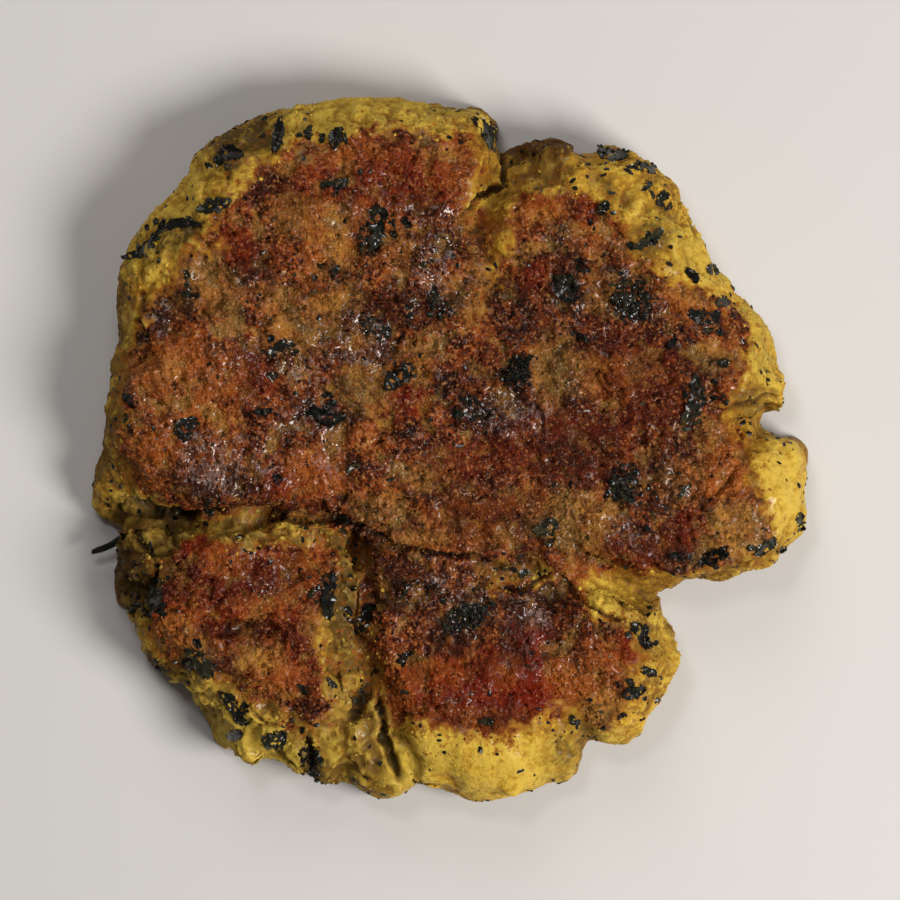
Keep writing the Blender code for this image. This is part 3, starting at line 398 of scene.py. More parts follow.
SMALL_LEAVES = [
    (-25.7, 57.5), (-48, 41), (-47.8, 30.8), (-8, 41), (-21, 32), (-2.7, 27.7), (-11.5, 21), (-32.3, 13),
    (-34, 6.5), (-58.4, 8.7), (1.3, 6), (8.2, 60.4), (45, 40), (36, 47.6), (48, 32.3), (44.3, 31.4),
    (49.8, 26.4), (40.5, 19), (49.8, 15.3), (47.6, 8.7), (23.7, 20.2), (24, 33), (-31.4, -5.7),
    (-17.7, -3.9), (-44, -11), (-19.5, -14), (-38, -50), (-39.4, -52.6), (-21.5, -43), (-27, -44),
    (-8.2, -38.4), (64, -13.6), (42.7, -7.9), (36.3, -41), (31.4, -49), (22.8, -50), (13.5, -23),
    (6.6, -50),
]

# %% [markdown]
# ## A fine, closed skin
# The solid has about 12,000 flat triangles. A voxel remesh gives a copy of it an even net of small
# squares, which can carry crumb and crust, and a few rounds of smoothing take the flat facets away first.

# %% Read and move a mesh's points
def read_points(mesh):
    """Each point's place in metres and the way it faces, as tables of three columns."""
    places, normals = (np.empty(len(mesh.vertices) * 3, np.float32) for _ in range(2))
    mesh.vertices.foreach_get("co", places)
    mesh.vertices.foreach_get("normal", normals)
    return places.reshape(-1, 3).astype(float), normals.reshape(-1, 3).astype(float)


def table_places(places):
    """The places' x and y as the tables count them, in millimetres."""
    return places[:, 0] / MM - TABLE_MIDDLE[0], places[:, 1] / MM - TABLE_MIDDLE[1]


def move_points(mesh, places):
    mesh.vertices.foreach_set("co", places.astype(np.float32).ravel())
    mesh.update()


# %% Melt the solid's copy into an even net
SKIN_VOXEL = 0.33 * MM
SKIN_SOFTENING = 8  # rounds of smoothing
LOOSE = 1e-6  # metres: triangle corners nearer than this are one point


def apply_modifiers(item):
    """Works an object's modifiers into its mesh."""
    graph = bpy.context.evaluated_depsgraph_get()
    mesh = bpy.data.meshes.new_from_object(item.evaluated_get(graph))
    item.modifiers.clear()
    item.data = mesh


def new_piece(name, mesh):
    item = bpy.data.objects.new(name, mesh)
    bpy.context.scene.collection.objects.link(item)
    return item


def merged_copy(node):
    """The node's mesh with its loose triangles joined."""
    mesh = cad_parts[node].data.copy()
    bm = bmesh.new()
    bm.from_mesh(mesh)
    bmesh.ops.remove_doubles(bm, verts=bm.verts, dist=LOOSE)
    bm.to_mesh(mesh)
    bm.free()
    mesh.materials.clear()
    return mesh


skin = new_piece("browned_mash", merged_copy(NODE))
rounding = skin.modifiers.new("round_the_facets", "SUBSURF")
rounding.levels = rounding.render_levels = 1
net = skin.modifiers.new("even_net", "REMESH")
net.mode = "VOXEL"
net.voxel_size = SKIN_VOXEL
soften = skin.modifiers.new("soften", "SMOOTH")
soften.factor = 0.5
soften.iterations = SKIN_SOFTENING
apply_modifiers(skin)
print("skin", len(skin.data.vertices), "points")

# %% [markdown]
# ## Room for finer leaves
# The solid has herb flakes of its own, which are coarse. Finer leaves are laid in the same places later,
# so the coarse ones have to go. Cutting them off would leave holes. Smoothing the skin many times over,
# only where they lie, melts them into the mash instead, and a vertex group tells the modifier where that
# is.

# %% Press the solid's own flakes flat
PRESSING = 45  # rounds of smoothing
PRESS_MARGIN = 1.2  # millimetres pressed round each flake
LEAST_WEIGHT = 0.05


def leaf_ovals(leaves, share, margin=0.0):
    """An oval for each leaf. Its half sizes are a share of the leaf's length and width, and a margin."""
    return [(x, y, share * length + margin, share * width + margin, turn, 1.0)
            for x, y, length, width, turn in leaves]


def press_flakes(item):
    places, _ = read_points(item.data)
    x, y = table_places(places)
    weight = covered(x, y, leaf_ovals(LEAVES, 0.5, PRESS_MARGIN), 0.4) * (places[:, 2] > 3 * MM)
    pressed = np.nonzero(weight > LEAST_WEIGHT)[0]
    group = item.vertex_groups.new(name="flakes")
    for index in pressed:
        group.add([int(index)], float(weight[index]), "REPLACE")
    press = item.modifiers.new("press", "SMOOTH")
    press.factor = 0.5
    press.iterations = PRESSING
    press.vertex_group = group.name
    apply_modifiers(item)
    item.vertex_groups.clear()
    print("pressed", len(pressed), "points flat")


press_flakes(skin)

# %% [markdown]
# ## The stem's thread
# The solid also has a stem that sticks out of the rim, and a finer one is built over it at the end. The
# skin's points there are drawn in to the stem's middle line until only a thread is left, which the finer
# stem hides. Deleting them would tear the skin open.

# %% Draw the solid's own stem in to a thread
STEM_TAKES = 2.0 * MM  # points nearer than this to the stem's line belong to it
STEM_COMES_OUT = 4  # place in the stem's table where it comes out of the rim


def stem_points():
    """The stem's points in metres, in the solid's own frame."""
    shift = Vector((*TABLE_MIDDLE, 0))
    return [(Vector(point[:3]) + shift) * MM for point in STEM]


def draw_in_stem(mesh):
    places, _ = read_points(mesh)
    line = [np.array(point) for point in stem_points()]
    rim_x = (STEM[STEM_COMES_OUT][0] + TABLE_MIDDLE[0]) * MM
    nearest = np.full(len(places), FAR)
    foot = places.copy()
    for start, end in zip(line, line[1:]):
        along = end - start
        share = np.clip((places - start) @ along / (along @ along), 0, 1)
        on_line = start + share[:, None] * along
        away = np.linalg.norm(places - on_line, axis=1)
        closer = away < nearest
        nearest[closer] = away[closer]
        foot[closer] = on_line[closer]
    taken = (nearest < STEM_TAKES) & (places[:, 0] < rim_x)
    places[taken] = foot[taken] + STEM_CORE * (places[taken] - foot[taken])
    move_points(mesh, places)
    print("drew in", int(taken.sum()), "points of the stem")


draw_in_stem(skin.data)

# %% [markdown]
# ## Soft mash in the creases
# Between the solid's lobes the creases are open, and in the cake soft mash has squeezed up into some of
# them. Each fill is an oval with a height. The skin inside it rises most of the way to that height, so
# the crease still shows as a shallow dip. A separate lump there would show a seam.

# %% Fill the creases with soft mash
FILLED_SHARE = 0.8
FILL_EDGE = (-1.2, 1.4)  # millimetres inside an oval where a fill begins, and where it is whole
FILL_FACES = (-0.1, 0.3)  # a fill lies where the skin faces up, and fades out where it hangs over


def fill_creases(mesh):
    places, normals = read_points(mesh)
    x, y = table_places(places)
    before = places[:, 2].copy()
    upward = smooth_step(normals[:, 2], *FILL_FACES)
    for fill in FILLS:
        share = FILLED_SHARE * smooth_step(inside(x, y, fill), *FILL_EDGE) * upward
        places[:, 2] += share * np.maximum(0, fill[5] * MM - places[:, 2])
    move_points(mesh, places)
    print("mash rose", round(float((places[:, 2] - before).max()) / MM, 1), "mm at most in the creases")


fill_creases(skin.data)

# %% [markdown]
# ## What each place is made of
# The crust lies on the flat top, where the pan touched, and stops in a frayed line. Each point of the
# skin gets numbers of its own: how browned, how dark, how golden, how red, how green, and how much
# painted light its mash gets. Nearly all run from 0 to 1, and a crack's number is its depth in
# millimetres. Materials and relief read them later, so colour and shape agree.

# %% Noise over the skin's points
def fray(places, size, seed):
    """Soft noise from about -1 to 1, of one size in millimetres."""
    shift = Vector((seed, 2.3 * seed, 0.7 * seed))
    scale = 1 / (size * MM)
    return np.array([noise.noise(Vector(place) * scale + shift) for place in places])


def write_number(mesh, name, values):
    """Gives each point of a mesh a named number."""
    layer = mesh.attributes.get(name) or mesh.attributes.new(name, "FLOAT", "POINT")
    layer.data.foreach_set("value", np.asarray(values, np.float32))


# %% Give each point its numbers
CRUST_FROM, CRUST_TO = 10.5, 14.5  # below the first height there is no crust, above the second it is whole
FACES_UP = (0.15, 0.5)
COARSE_NOISE, FINE_NOISE = 5.0, 1.7  # sizes in millimetres
EDGE_FRAY = (2.6, 2.0)  # millimetres by which coarse and fine noise fray the crust's edge
WANDER, BURNT_WANDER, CRACK_WANDER = 2.0, 1.4, 0.5  # millimetres by which noise bends ovals and cracks
OVALS = {  # for each number, its ovals and how many millimetres soft their edges are
    "golden": (GOLDEN, 1.6), "orange": (ORANGE, 1.8), "deep_red": (DEEP_RED, 1.8), "dark": (DARK, 1.6),
    "oily": (OILY, 2.0), "bright": (LIT_MASH, 2.5), "olive": (OLIVE_STAIN_AND_SHADE, 2.5), "singed": (SINGED_AND_SHADOW, 1.2),
}
LOWEST_DARK, LOWEST_BURNT, LOWEST_CRACK = 5, 2, 4  # millimetres above the plate
STEM_LIES = 3  # place in the stem's table up to which the skin lies under it


def mark_the_skin(mesh):
    places, normals = read_points(mesh)
    x, y = table_places(places)
    z = places[:, 2] / MM
    coarse = fray(places, COARSE_NOISE, 1.0)
    fine = fray(places, FINE_NOISE, 5.0)
    edge = inside_crust(x, y) + (EDGE_FRAY[0] * coarse + EDGE_FRAY[1] * fine)
    top = smooth_step(z, CRUST_FROM, CRUST_TO) * smooth_step(normals[:, 2], *FACES_UP)
    underside = smooth_step(-normals[:, 2], 0.5, 0.9) * smooth_step(-z, -3.0, -0.6)
    numbers = {name: covered(x + WANDER * coarse, y + WANDER * fine, ovals, soft)
               for name, (ovals, soft) in OVALS.items()}
    numbers["dark"] *= z > LOWEST_DARK
    numbers["crust"] = np.maximum(smooth_step(edge, -2.0, 2.4) * top, underside)
    numbers["near_crust"] = smooth_step(edge, -9.0, 1.0) * smooth_step(z, 7.0, 12.0)
    burnt = covered(x + BURNT_WANDER * coarse, y + BURNT_WANDER * fine, BURNT, 1.0)
    numbers["burnt"] = burnt * (z > LOWEST_BURNT)
    numbers["crumbly"] = covered(x, y, CRUMBLY, 4.0)
    single = leaf_ovals([leaf for leaf in LEAVES if leaf[3] < CLUMP_WIDTH], 0.46)
    numbers["under_leaf"] = np.maximum(covered(x, y, single, 0.3), x < STEM[STEM_LIES][0])
    cracks = crack_depth(x + CRACK_WANDER * fine, y + CRACK_WANDER * coarse)
    numbers["crack"] = cracks * (z > LOWEST_CRACK)
    numbers["above_plate"] = smooth_step(z, 0.2, 2.5)
    numbers["up_the_side"] = smooth_step(z, 0.0, 7.0)
    numbers["at_rim"] = smooth_step(-inside_outline(x, y, RIM), -4.0, -1.0)
    for name, values in numbers.items():
        write_number(mesh, name, values)
    browned = float(np.mean(numbers["crust"] > 0.5))
    print(len(numbers), "numbers a point, and crust covers", round(100 * browned), "% of the skin's points")


mark_the_skin(skin.data)

# %% [markdown]
# ## Node trees, written down
# Geometry Nodes and materials are both trees of nodes. A few short helpers keep them readable: `put` adds
# a node and joins or sets its inputs, `sums`, `times` and `vector_sums` reckon, `between` turns one range
# into another, and `new_tree` starts an empty tree with named sockets.

# %% Helpers for node trees
def join(tree, socket, value):
    """Joins an input to another node's output, or sets its own value."""
    if isinstance(value, bpy.types.NodeSocket):
        tree.links.new(value, socket)
    else:
        socket.default_value = value


def put(tree, kind, inputs=None, **settings):
    """A node of one kind. Each input is named or numbered, and is a value or another node's output."""
    node = tree.nodes.new(kind)
    for key, value in settings.items():
        setattr(node, key, value)
    for key, value in (inputs or {}).items():
        join(tree, node.inputs[key], value)
    return node


def sums(tree, operation, *values):
    return put(tree, "ShaderNodeMath", dict(enumerate(values)), operation=operation).outputs[0]


def times(tree, first, *others):
    """Several numbers multiplied."""
    for other in others:
        first = sums(tree, "MULTIPLY", first, other)
    return first


def vector_sums(tree, operation, vector, second):
    """Scales a vector by a number, or reckons with two vectors."""
    inputs = {0: vector, "Scale" if operation == "SCALE" else 1: second}
    answer = "Value" if operation == "DOT_PRODUCT" else "Vector"
    return put(tree, "ShaderNodeVectorMath", inputs, operation=operation).outputs[answer]


def between(tree, value, low, high, start=0.0, end=1.0):
    """Turns the range low to high into start to end, and holds it there."""
    inputs = {"Value": value, "From Min": low, "From Max": high, "To Min": start, "To Max": end}
    return put(tree, "ShaderNodeMapRange", inputs).outputs[0]


SOCKETS = {float: "Float", int: "Int", str: "String"}


def new_tree(name, kind, inputs, outputs):
    """An empty tree. An input's value tells its kind, and its label does where it has no value."""
    tree = bpy.data.node_groups.new(name, kind)
    for label, value in inputs.items():
        socket = "NodeSocket" + (label if value is None else SOCKETS[type(value)])
        made = tree.interface.new_socket(label, in_out="INPUT", socket_type=socket)
        if value is not None:
            made.default_value = value
    for label in outputs:
        socket = "NodeSocketGeometry" if label == "Geometry" else "NodeSocketFloat"
        tree.interface.new_socket(label, in_out="OUTPUT", socket_type=socket)
    return tree, tree.nodes.new("NodeGroupInput").outputs, tree.nodes.new("NodeGroupOutput")


# %% [markdown]
# ## Relief: mash lumps, crust grain and blisters
# On the rim, mash breaks into soft lumps of a few millimetres, each with smaller ones on it. On top, hot
# fat makes fine grains and short blistered ridges. Voronoi cells give lumps that meet in creases, and
# folded noise gives ridges. One Geometry Nodes tree moves every point along its normal, with each height
# a named input, and writes down how deep in a hollow each point ends up, for the colours, which paint
# shade there.

# %% The relief tree
LUMP_SIZE, SMALL_LUMP_SIZE, TEAR_SIZE, CREAM_SIZE = 3.6 * MM, 1.5 * MM, 2.4 * MM, 0.9 * MM  # of bare mash
CLOD_SIZE, CRAG_SIZE, CRISP_SIZE, BLISTER_SIZE, PIT_SIZE = 4.4 * MM, 2.9 * MM, 0.95 * MM, 4.2 * MM, 1.9 * MM
BLISTER_PATCH = 11 * MM  # blisters come in patches of about this size


def cells(tree, place, size, smoothness, level):
    """Rounded cells: highest in the middle of a lump, and lowest where lumps meet."""
    inputs = {"Vector": place, "Scale": 1 / size, "Smoothness": smoothness}
    gap = put(tree, "ShaderNodeTexVoronoi", inputs, feature="SMOOTH_F1").outputs["Distance"]
    return sums(tree, "SUBTRACT", sums(tree, "SUBTRACT", 0.45, sums(tree, "POWER", gap, 1.6)), level)


def soft_noise(tree, place, size, detail=2.0, roughness=0.5, distortion=0.0):
    inputs = {"Vector": place, "Scale": 1 / size, "Detail": detail, "Roughness": roughness,
              "Distortion": distortion}
    return put(tree, "ShaderNodeTexNoise", inputs).outputs[0]


def skin_number(tree, name):
    inputs = {"Name": name}
    return put(tree, "GeometryNodeInputNamedAttribute", inputs, data_type="FLOAT").outputs["Attribute"]


def bent_place(tree, place, size, reach):
    """The place pushed about a little, so that cells lose their even shapes."""
    wobble = put(tree, "ShaderNodeTexNoise", {"Vector": place, "Scale": 1 / size, "Detail": 2.0})
    centred = vector_sums(tree, "SUBTRACT", wobble.outputs["Color"], (0.5, 0.5, 0.5))
    return vector_sums(tree, "ADD", place, vector_sums(tree, "SCALE", centred, reach))


def mash_height(tree, place, group_in):
    """The mash's coarse height and its whole height."""
    crumbly = skin_number(tree, "crumbly")
    bent = bent_place(tree, place, 5 * MM, 5 * MM)
    lumps = times(tree, cells(tree, bent, LUMP_SIZE, 0.2, 0.3), group_in["Lump height"],
                  between(tree, crumbly, 0.2, 1, 0.5, 2.0))
    ragged = sums(tree, "MAXIMUM", between(tree, crumbly, 0.4, 1, 0.4, 1.5), skin_number(tree, "at_rim"))
    small = times(tree, cells(tree, bent, SMALL_LUMP_SIZE, 0.2, 0.3), group_in["Small lump height"], ragged)
    cream = sums(tree, "MULTIPLY_ADD", soft_noise(tree, place, CREAM_SIZE, 2.0), 0.3 * MM, -0.15 * MM)
    torn = sums(tree, "SUBTRACT", soft_noise(tree, bent, TEAR_SIZE, 4.0, 0.65), 0.5)
    torn = times(tree, torn, between(tree, crumbly, 0, 0.5, 0.6 * MM, 2.4 * MM))
    return lumps, sums(tree, "ADD", sums(tree, "ADD", lumps, small), sums(tree, "ADD", cream, torn))


def crust_height(tree, place, group_in):
    """The crust's coarse height and its whole height."""
    bent = bent_place(tree, place, 4 * MM, 5 * MM)
    clods = times(tree, cells(tree, bent, CLOD_SIZE, 0.25, 0.2), group_in["Clod height"])
    crags = sums(tree, "SUBTRACT", soft_noise(tree, bent, CRAG_SIZE, 4.0, 0.6), 0.5)
    coarse = sums(tree, "MULTIPLY_ADD", crags, group_in["Crag height"], clods)
    grain = times(tree, cells(tree, place, CRISP_SIZE, 0.15, 0.25), group_in["Grain height"])
    fold = sums(tree, "SUBTRACT", soft_noise(tree, place, BLISTER_SIZE, 1.5, 0.5, 1.4), 0.5)
    patch = between(tree, soft_noise(tree, place, BLISTER_PATCH), 0.45, 0.62)
    ridge = times(tree, between(tree, sums(tree, "ABSOLUTE", fold), 0.07, 0.0), patch,
                  group_in["Blister height"])
    pits = between(tree, soft_noise(tree, place, PIT_SIZE, 2.0), 0.40, 0.30)
    pits = times(tree, pits, group_in["Pit depth"])
    whole = sums(tree, "ADD", sums(tree, "ADD", coarse, grain), sums(tree, "SUBTRACT", ridge, pits))
    return coarse, sums(tree, "SUBTRACT", whole, group_in["Crust drop"])


def keep_number(tree, geometry, name, value):
    inputs = {"Geometry": geometry, "Name": name, "Value": value}
    return put(tree, "GeometryNodeStoreNamedAttribute", inputs, data_type="FLOAT").outputs[0]


def relief_tree():
    inputs = {"Geometry": None, "Lump height": 1.1 * MM, "Small lump height": 0.5 * MM,
              "Clod height": 1.5 * MM, "Crag height": 2.6 * MM, "Grain height": 0.55 * MM,
              "Blister height": 0.5 * MM, "Pit depth": 0.9 * MM, "Crust drop": 0.45 * MM, "Blur rounds": 14}
    tree, group_in, group_out = new_tree("mash_and_crust_relief", "GeometryNodeTree", inputs, ["Geometry"])
    place = put(tree, "GeometryNodeInputPosition").outputs[0]
    normal = put(tree, "GeometryNodeInputNormal").outputs[0]
    crust = skin_number(tree, "crust")
    bare = sums(tree, "SUBTRACT", 1.0, crust)
    both = zip(mash_height(tree, place, group_in), crust_height(tree, place, group_in))
    coarse, height = (sums(tree, "MULTIPLY_ADD", fried, crust, times(tree, mash, bare))
                      for mash, fried in both)
    height = sums(tree, "MULTIPLY_ADD", skin_number(tree, "crack"), -MM, height)
    height = times(tree, height, skin_number(tree, "above_plate"))
    raised = keep_number(tree, group_in["Geometry"], "raised", sums(tree, "DIVIDE", coarse, MM))
    offset = vector_sums(tree, "SCALE", normal, height)
    moved = put(tree, "GeometryNodeSetPosition", {"Geometry": raised, "Offset": offset})

    here = put(tree, "GeometryNodeInputPosition").outputs[0]
    around = put(tree, "GeometryNodeBlurAttribute", {"Value": here, "Iterations": group_in["Blur rounds"]},
                 data_type="FLOAT_VECTOR").outputs["Value"]
    sunk = vector_sums(tree, "SUBTRACT", around, here)
    depth = vector_sums(tree, "DOT_PRODUCT", sunk, put(tree, "GeometryNodeInputNormal").outputs[0])
    hollow = keep_number(tree, moved.outputs[0], "hollow", sums(tree, "DIVIDE", depth, MM))
    tree.links.new(hollow, group_out.inputs[0])
    return tree


# %% Work the relief into the skin
def socket_id(tree, name):
    sockets = tree.interface.items_tree
    return next(item.identifier for item in sockets if item.name == name and item.in_out == "INPUT")


def run_tree(item, tree, **values):
    """Runs a Geometry Nodes tree on an object and leaves a plain mesh."""
    step = item.modifiers.new(tree.name, "NODES")
    step.node_group = tree
    for name, value in values.items():
        step[socket_id(tree, name.replace("_", " "))] = value
    apply_modifiers(item)


def triangle_count(mesh):
    mesh.calc_loop_triangles()
    return len(mesh.loop_triangles)


run_tree(skin, relief_tree())
print("skin with its relief", triangle_count(skin.data), "triangles")

# %% [markdown]
# ## The rim's own line
# The lumps have pushed the rim in and out at random, and the table has the rim's real line, crumb by
# crumb. Rays sent in from outside measure how far the skin reaches at each place on that line. The skin
# near the rim is then moved by what is missing. Small crumbs move it only at the height where they stick
# out, and the move fades a few millimetres in, so the top stays as it is. The net is then thinned out,
# because it is finer than it needs to be.

# %% Draw the rim out to its outline
RIM_STEP = 0.5  # millimetres between two places on the outline
RIM_AHEAD = 3  # places before and behind that give the outline's direction
RIM_SEARCH = 3.2  # how far outside the outline the search for the skin starts
RIM_HEIGHTS = np.arange(0.6, 15.0, 0.6)
RIM_MISSED = (-5.0, 6.0)  # the reach and the height, in millimetres, where no ray meets the skin
RAY_STEP = 0.01  # how far past an inner face a ray starts again, in millimetres
RIM_MOVES = (-2.5, 4.0)  # the furthest moves in and out, in millimetres
BROAD_ROUNDS, HEIGHT_ROUNDS = 60, 12  # rounds of levelling for the broad moves and for the crumbs' heights
RIM_REACH = 4.5  # how far in from the rim the skin still moves
RIM_BELT = 2.2 * RIM_REACH  # further in than this, points are left out of the sums
ANCHOR_BLUR = 1.2  # square millimetres over which places on the outline share a point
POINTS_AT_ONCE = 4000
CRUMB_HALF_HEIGHT = 3.0  # small crumbs stick out only near the height where the rim is widest
SKIN_TRIANGLES = 196000


def rim_stations():
    """Places along the outline, in millimetres, with the directions that point straight out."""
    corners = np.array(RIM + RIM[:1])
    lengths = np.hypot(*np.diff(corners, axis=0).T)
    walked = np.concatenate([[0], np.cumsum(lengths)])
    steps = np.arange(0, walked[-1], RIM_STEP)
    places = np.stack([np.interp(steps, walked, corners[:, k]) for k in range(2)], axis=1)
    ahead = np.roll(places, -RIM_AHEAD, 0) - np.roll(places, RIM_AHEAD, 0)
    out = np.stack([-ahead[:, 1], ahead[:, 0]], axis=1)
    out /= np.linalg.norm(out, axis=1)[:, None]
    return places + np.array(TABLE_MIDDLE), out


def level_out(values, rounds):
    """Averages each value on a closed ring with its neighbours."""
    for _ in range(rounds):
        values = 0.5 * values + 0.25 * (np.roll(values, 1) + np.roll(values, -1))
    return values


def skin_reach(tree, place, out):
    """How far past a place on the outline the skin reaches, and at which height, in millimetres."""
    furthest, height = RIM_MISSED
    inward = Vector((*-out, 0))
    for z in RIM_HEIGHTS:
        start = Vector((*(place + RIM_SEARCH * out), z)) * MM
        hit, normal, _, away = tree.ray_cast(start, inward)
        if hit is not None and normal.x * out[0] + normal.y * out[1] < 0:
            hit, normal, _, more = tree.ray_cast(hit + inward * RAY_STEP * MM, inward)
            away = None if hit is None else away + more
        if hit is not None and RIM_SEARCH - away / MM > furthest:
            furthest, height = RIM_SEARCH - away / MM, z
    return furthest, height


def shape_the_rim(item):
    stations, out = rim_stations()
    tree = BVHTree.FromObject(item, bpy.context.evaluated_depsgraph_get())
    reach = np.array([skin_reach(tree, place, way) for place, way in zip(stations, out)])
    shift = level_out(np.clip(-reach[:, 0], *RIM_MOVES), 1)
    broad = level_out(shift, BROAD_ROUNDS)
    heights = level_out(reach[:, 1], HEIGHT_ROUNDS)
    anchors = stations - shift[:, None] * out
    places, _ = read_points(item.data)
    flat = places[:, :2] / MM - TABLE_MIDDLE
    movable = np.nonzero(inside_outline(*flat.T, RIM) < RIM_BELT)[0]
    for first in range(0, len(movable), POINTS_AT_ONCE):
        some = movable[first:first + POINTS_AT_ONCE]
        away = np.linalg.norm(flat[some, None] + TABLE_MIDDLE - anchors[None], axis=2)
        nearest = away.min(axis=1)
        share = np.exp(-(away ** 2 - nearest[:, None] ** 2) / ANCHOR_BLUR)
        share /= share.sum(axis=1)[:, None]
        at_crumb = np.exp(-((places[some, 2] / MM - share @ heights) / CRUMB_HALF_HEIGHT) ** 2)
        size = share @ broad + at_crumb * (share @ (shift - broad))
        size *= np.exp(-(nearest / RIM_REACH) ** 2)
        places[some, :2] += size[:, None] * (share @ out) * MM
    move_points(item.data, places)
    print("rim moved out by", round(float(shift.mean()), 2), "mm on average, and by",
          round(float(shift.max()), 2), "mm at most")


def keep_in_box(mesh):
    """Holds every point inside the solid's own box, on or above the plate."""
    places, _ = read_points(mesh)
    move_points(mesh, np.clip(places, np.array(CAD_LOW), np.array(CAD_HIGH)))


shape_the_rim(skin)
keep_in_box(skin.data)
skin.modifiers.new("triangles", "TRIANGULATE")
thin_out = skin.modifiers.new("thin_out", "DECIMATE")
thin_out.ratio = min(1.0, SKIN_TRIANGLES / triangle_count(skin.data))
apply_modifiers(skin)
skin.data.shade_smooth()
print("skin thinned out to", triangle_count(skin.data), "triangles")

# %% [markdown]
# ## Colours of the food
# Mash is an ochre yellow that goes olive where herbs stain it and where shade is painted on it. Frying
# turns it golden, then orange-brown, then a red-brown that is nearly black in the deepest places. A colour
# ramp over one number, how toasted a grain is, holds that whole range, and noise at several sizes moves
# along it, so no two grains match.

# %% Shared shader effects
SPECK_BEND, GRAIN_BEND = 0.6 * MM, 0.5 * MM  # how far noise pushes the cells' edges


def bent_cell(tree, place, scale, bend):
    """How far each place is from the middle of its own uneven cell, and a random number for the cell."""
    wobble = put(tree, "ShaderNodeTexNoise", {"Vector": place, "Scale": scale, "Detail": 2.0})
    bent = vector_sums(tree, "ADD", place, vector_sums(tree, "SCALE", wobble.outputs["Color"], bend))
    cell = put(tree, "ShaderNodeTexVoronoi", {"Vector": bent, "Scale": scale})
    own = put(tree, "ShaderNodeSeparateColor", {0: cell.outputs["Color"]}).outputs[0]
    return cell.outputs["Distance"], own


def speckle_group():
    """Sparse round specks: each cell holds one or none."""
    inputs = {"Vector": None, "Spacing": 2.0 * MM, "Size": 0.25, "Share": 0.3}
    tree, group_in, group_out = new_tree("specks", "ShaderNodeTree", inputs, ["Mask"])
    scale = sums(tree, "DIVIDE", 1.0, group_in["Spacing"])
    away, own = bent_cell(tree, group_in["Vector"], scale, SPECK_BEND)
    chosen = sums(tree, "LESS_THAN", own, group_in["Share"])
    reach = times(tree, group_in["Size"], sums(tree, "ADD", 0.6, own))
    spot = between(tree, away, reach, times(tree, reach, 0.6))
    tree.links.new(times(tree, spot, chosen), group_out.inputs[0])
    return tree


def grain_group():
    """Fried grain: a random tone for each grain, and its height."""
    inputs = {"Vector": None, "Grain size": 0.7 * MM}
    tree, group_in, group_out = new_tree("fried_grain", "ShaderNodeTree", inputs, ["Tone", "Height"])
    scale = sums(tree, "DIVIDE", 1.0, group_in["Grain size"])
    away, tone = bent_cell(tree, group_in["Vector"], scale, GRAIN_BEND)
    fine = put(tree, "ShaderNodeTexNoise",
               {"Vector": group_in["Vector"], "Scale": times(tree, scale, 2.6), "Detail": 3.0})
    height = sums(tree, "MULTIPLY_ADD", fine.outputs[0], 0.6, sums(tree, "SUBTRACT", 1.0, away))
    tree.links.new(tone, group_out.inputs["Tone"])
    tree.links.new(height, group_out.inputs["Height"])
    return tree


def set_inputs(tree, node, **values):
    """Joins or sets inputs by name, with _ for each space."""
    for key, value in values.items():
        join(tree, node.inputs[key.replace("_", " ")], value)
    return node.outputs


def use_group(tree, group, **inputs):
    return set_inputs(tree, put(tree, "ShaderNodeGroup", node_tree=group), **inputs)


SPECKS = speckle_group()
GRAIN = grain_group()
print("specks use", len(SPECKS.nodes), "nodes, and grain uses", len(GRAIN.nodes))

# %% Helpers for the materials
def new_material(name):
    material = bpy.data.materials.new(name)
    material.use_nodes = True
    tree = material.node_tree
    return material, tree, tree.nodes["Principled BSDF"]


def object_place(tree):
    """Where on the object a spot lies, in metres, so that patterns are sized in metres too."""
    return put(tree, "ShaderNodeTexCoord").outputs["Object"]


def bumped(tree, height, strength, distance):
    """The way a surface faces once small bumps tilt it."""
    inputs = {"Height": height, "Strength": strength, "Distance": distance}
    return put(tree, "ShaderNodeBump", inputs).outputs[0]


def carried(tree, name):
    """A number that the mesh carries at each point."""
    return put(tree, "ShaderNodeAttribute", attribute_name=name).outputs["Fac"]


def blend(tree, factor, first, second):
    """A colour part of the way from the first to the second."""
    node = put(tree, "ShaderNodeMix", data_type="RGBA")
    join(tree, node.inputs[0], factor)
    for socket, colour in ((node.inputs[6], first), (node.inputs[7], second)):
        join(tree, socket, (*colour, 1.0) if isinstance(colour, tuple) else colour)
    return node.outputs[2]


def ramp(tree, factor, stops):
    """Colours along a number, with even blends between the stops."""
    node = put(tree, "ShaderNodeValToRGB", {0: factor})
    elements = node.color_ramp.elements
    for place, colour in stops[len(elements):]:
        elements.new(place)
    for element, (place, colour) in zip(elements, stops):
        element.position = place
        element.color = (*colour, 1.0)
    return node.outputs[0]


def weighted(tree, *pairs, **marks):
    """Adds up numbers, each times its weight. Numbers that the mesh carries go last, by name."""
    total = None
    for value, weight in (*pairs, *((carried(tree, name), weight) for name, weight in marks.items())):
        more = (value, weight) if total is None else (value, weight, total)
        total = sums(tree, "MULTIPLY" if total is None else "MULTIPLY_ADD", *more)
    return total


# %% [markdown]
# ### Mash
# Boiled potato with turmeric-coloured flesh looks creamy because light goes a little way in. Most of its
# pattern is broad: painted light makes it paler where it bulges and where light falls on the rim, painted
# shade makes it browner in hollows and near black in cracks, it goes olive near chopped leaf and where
# shade is painted on the west rim, and a few orange freckles lie where fat has caught it.

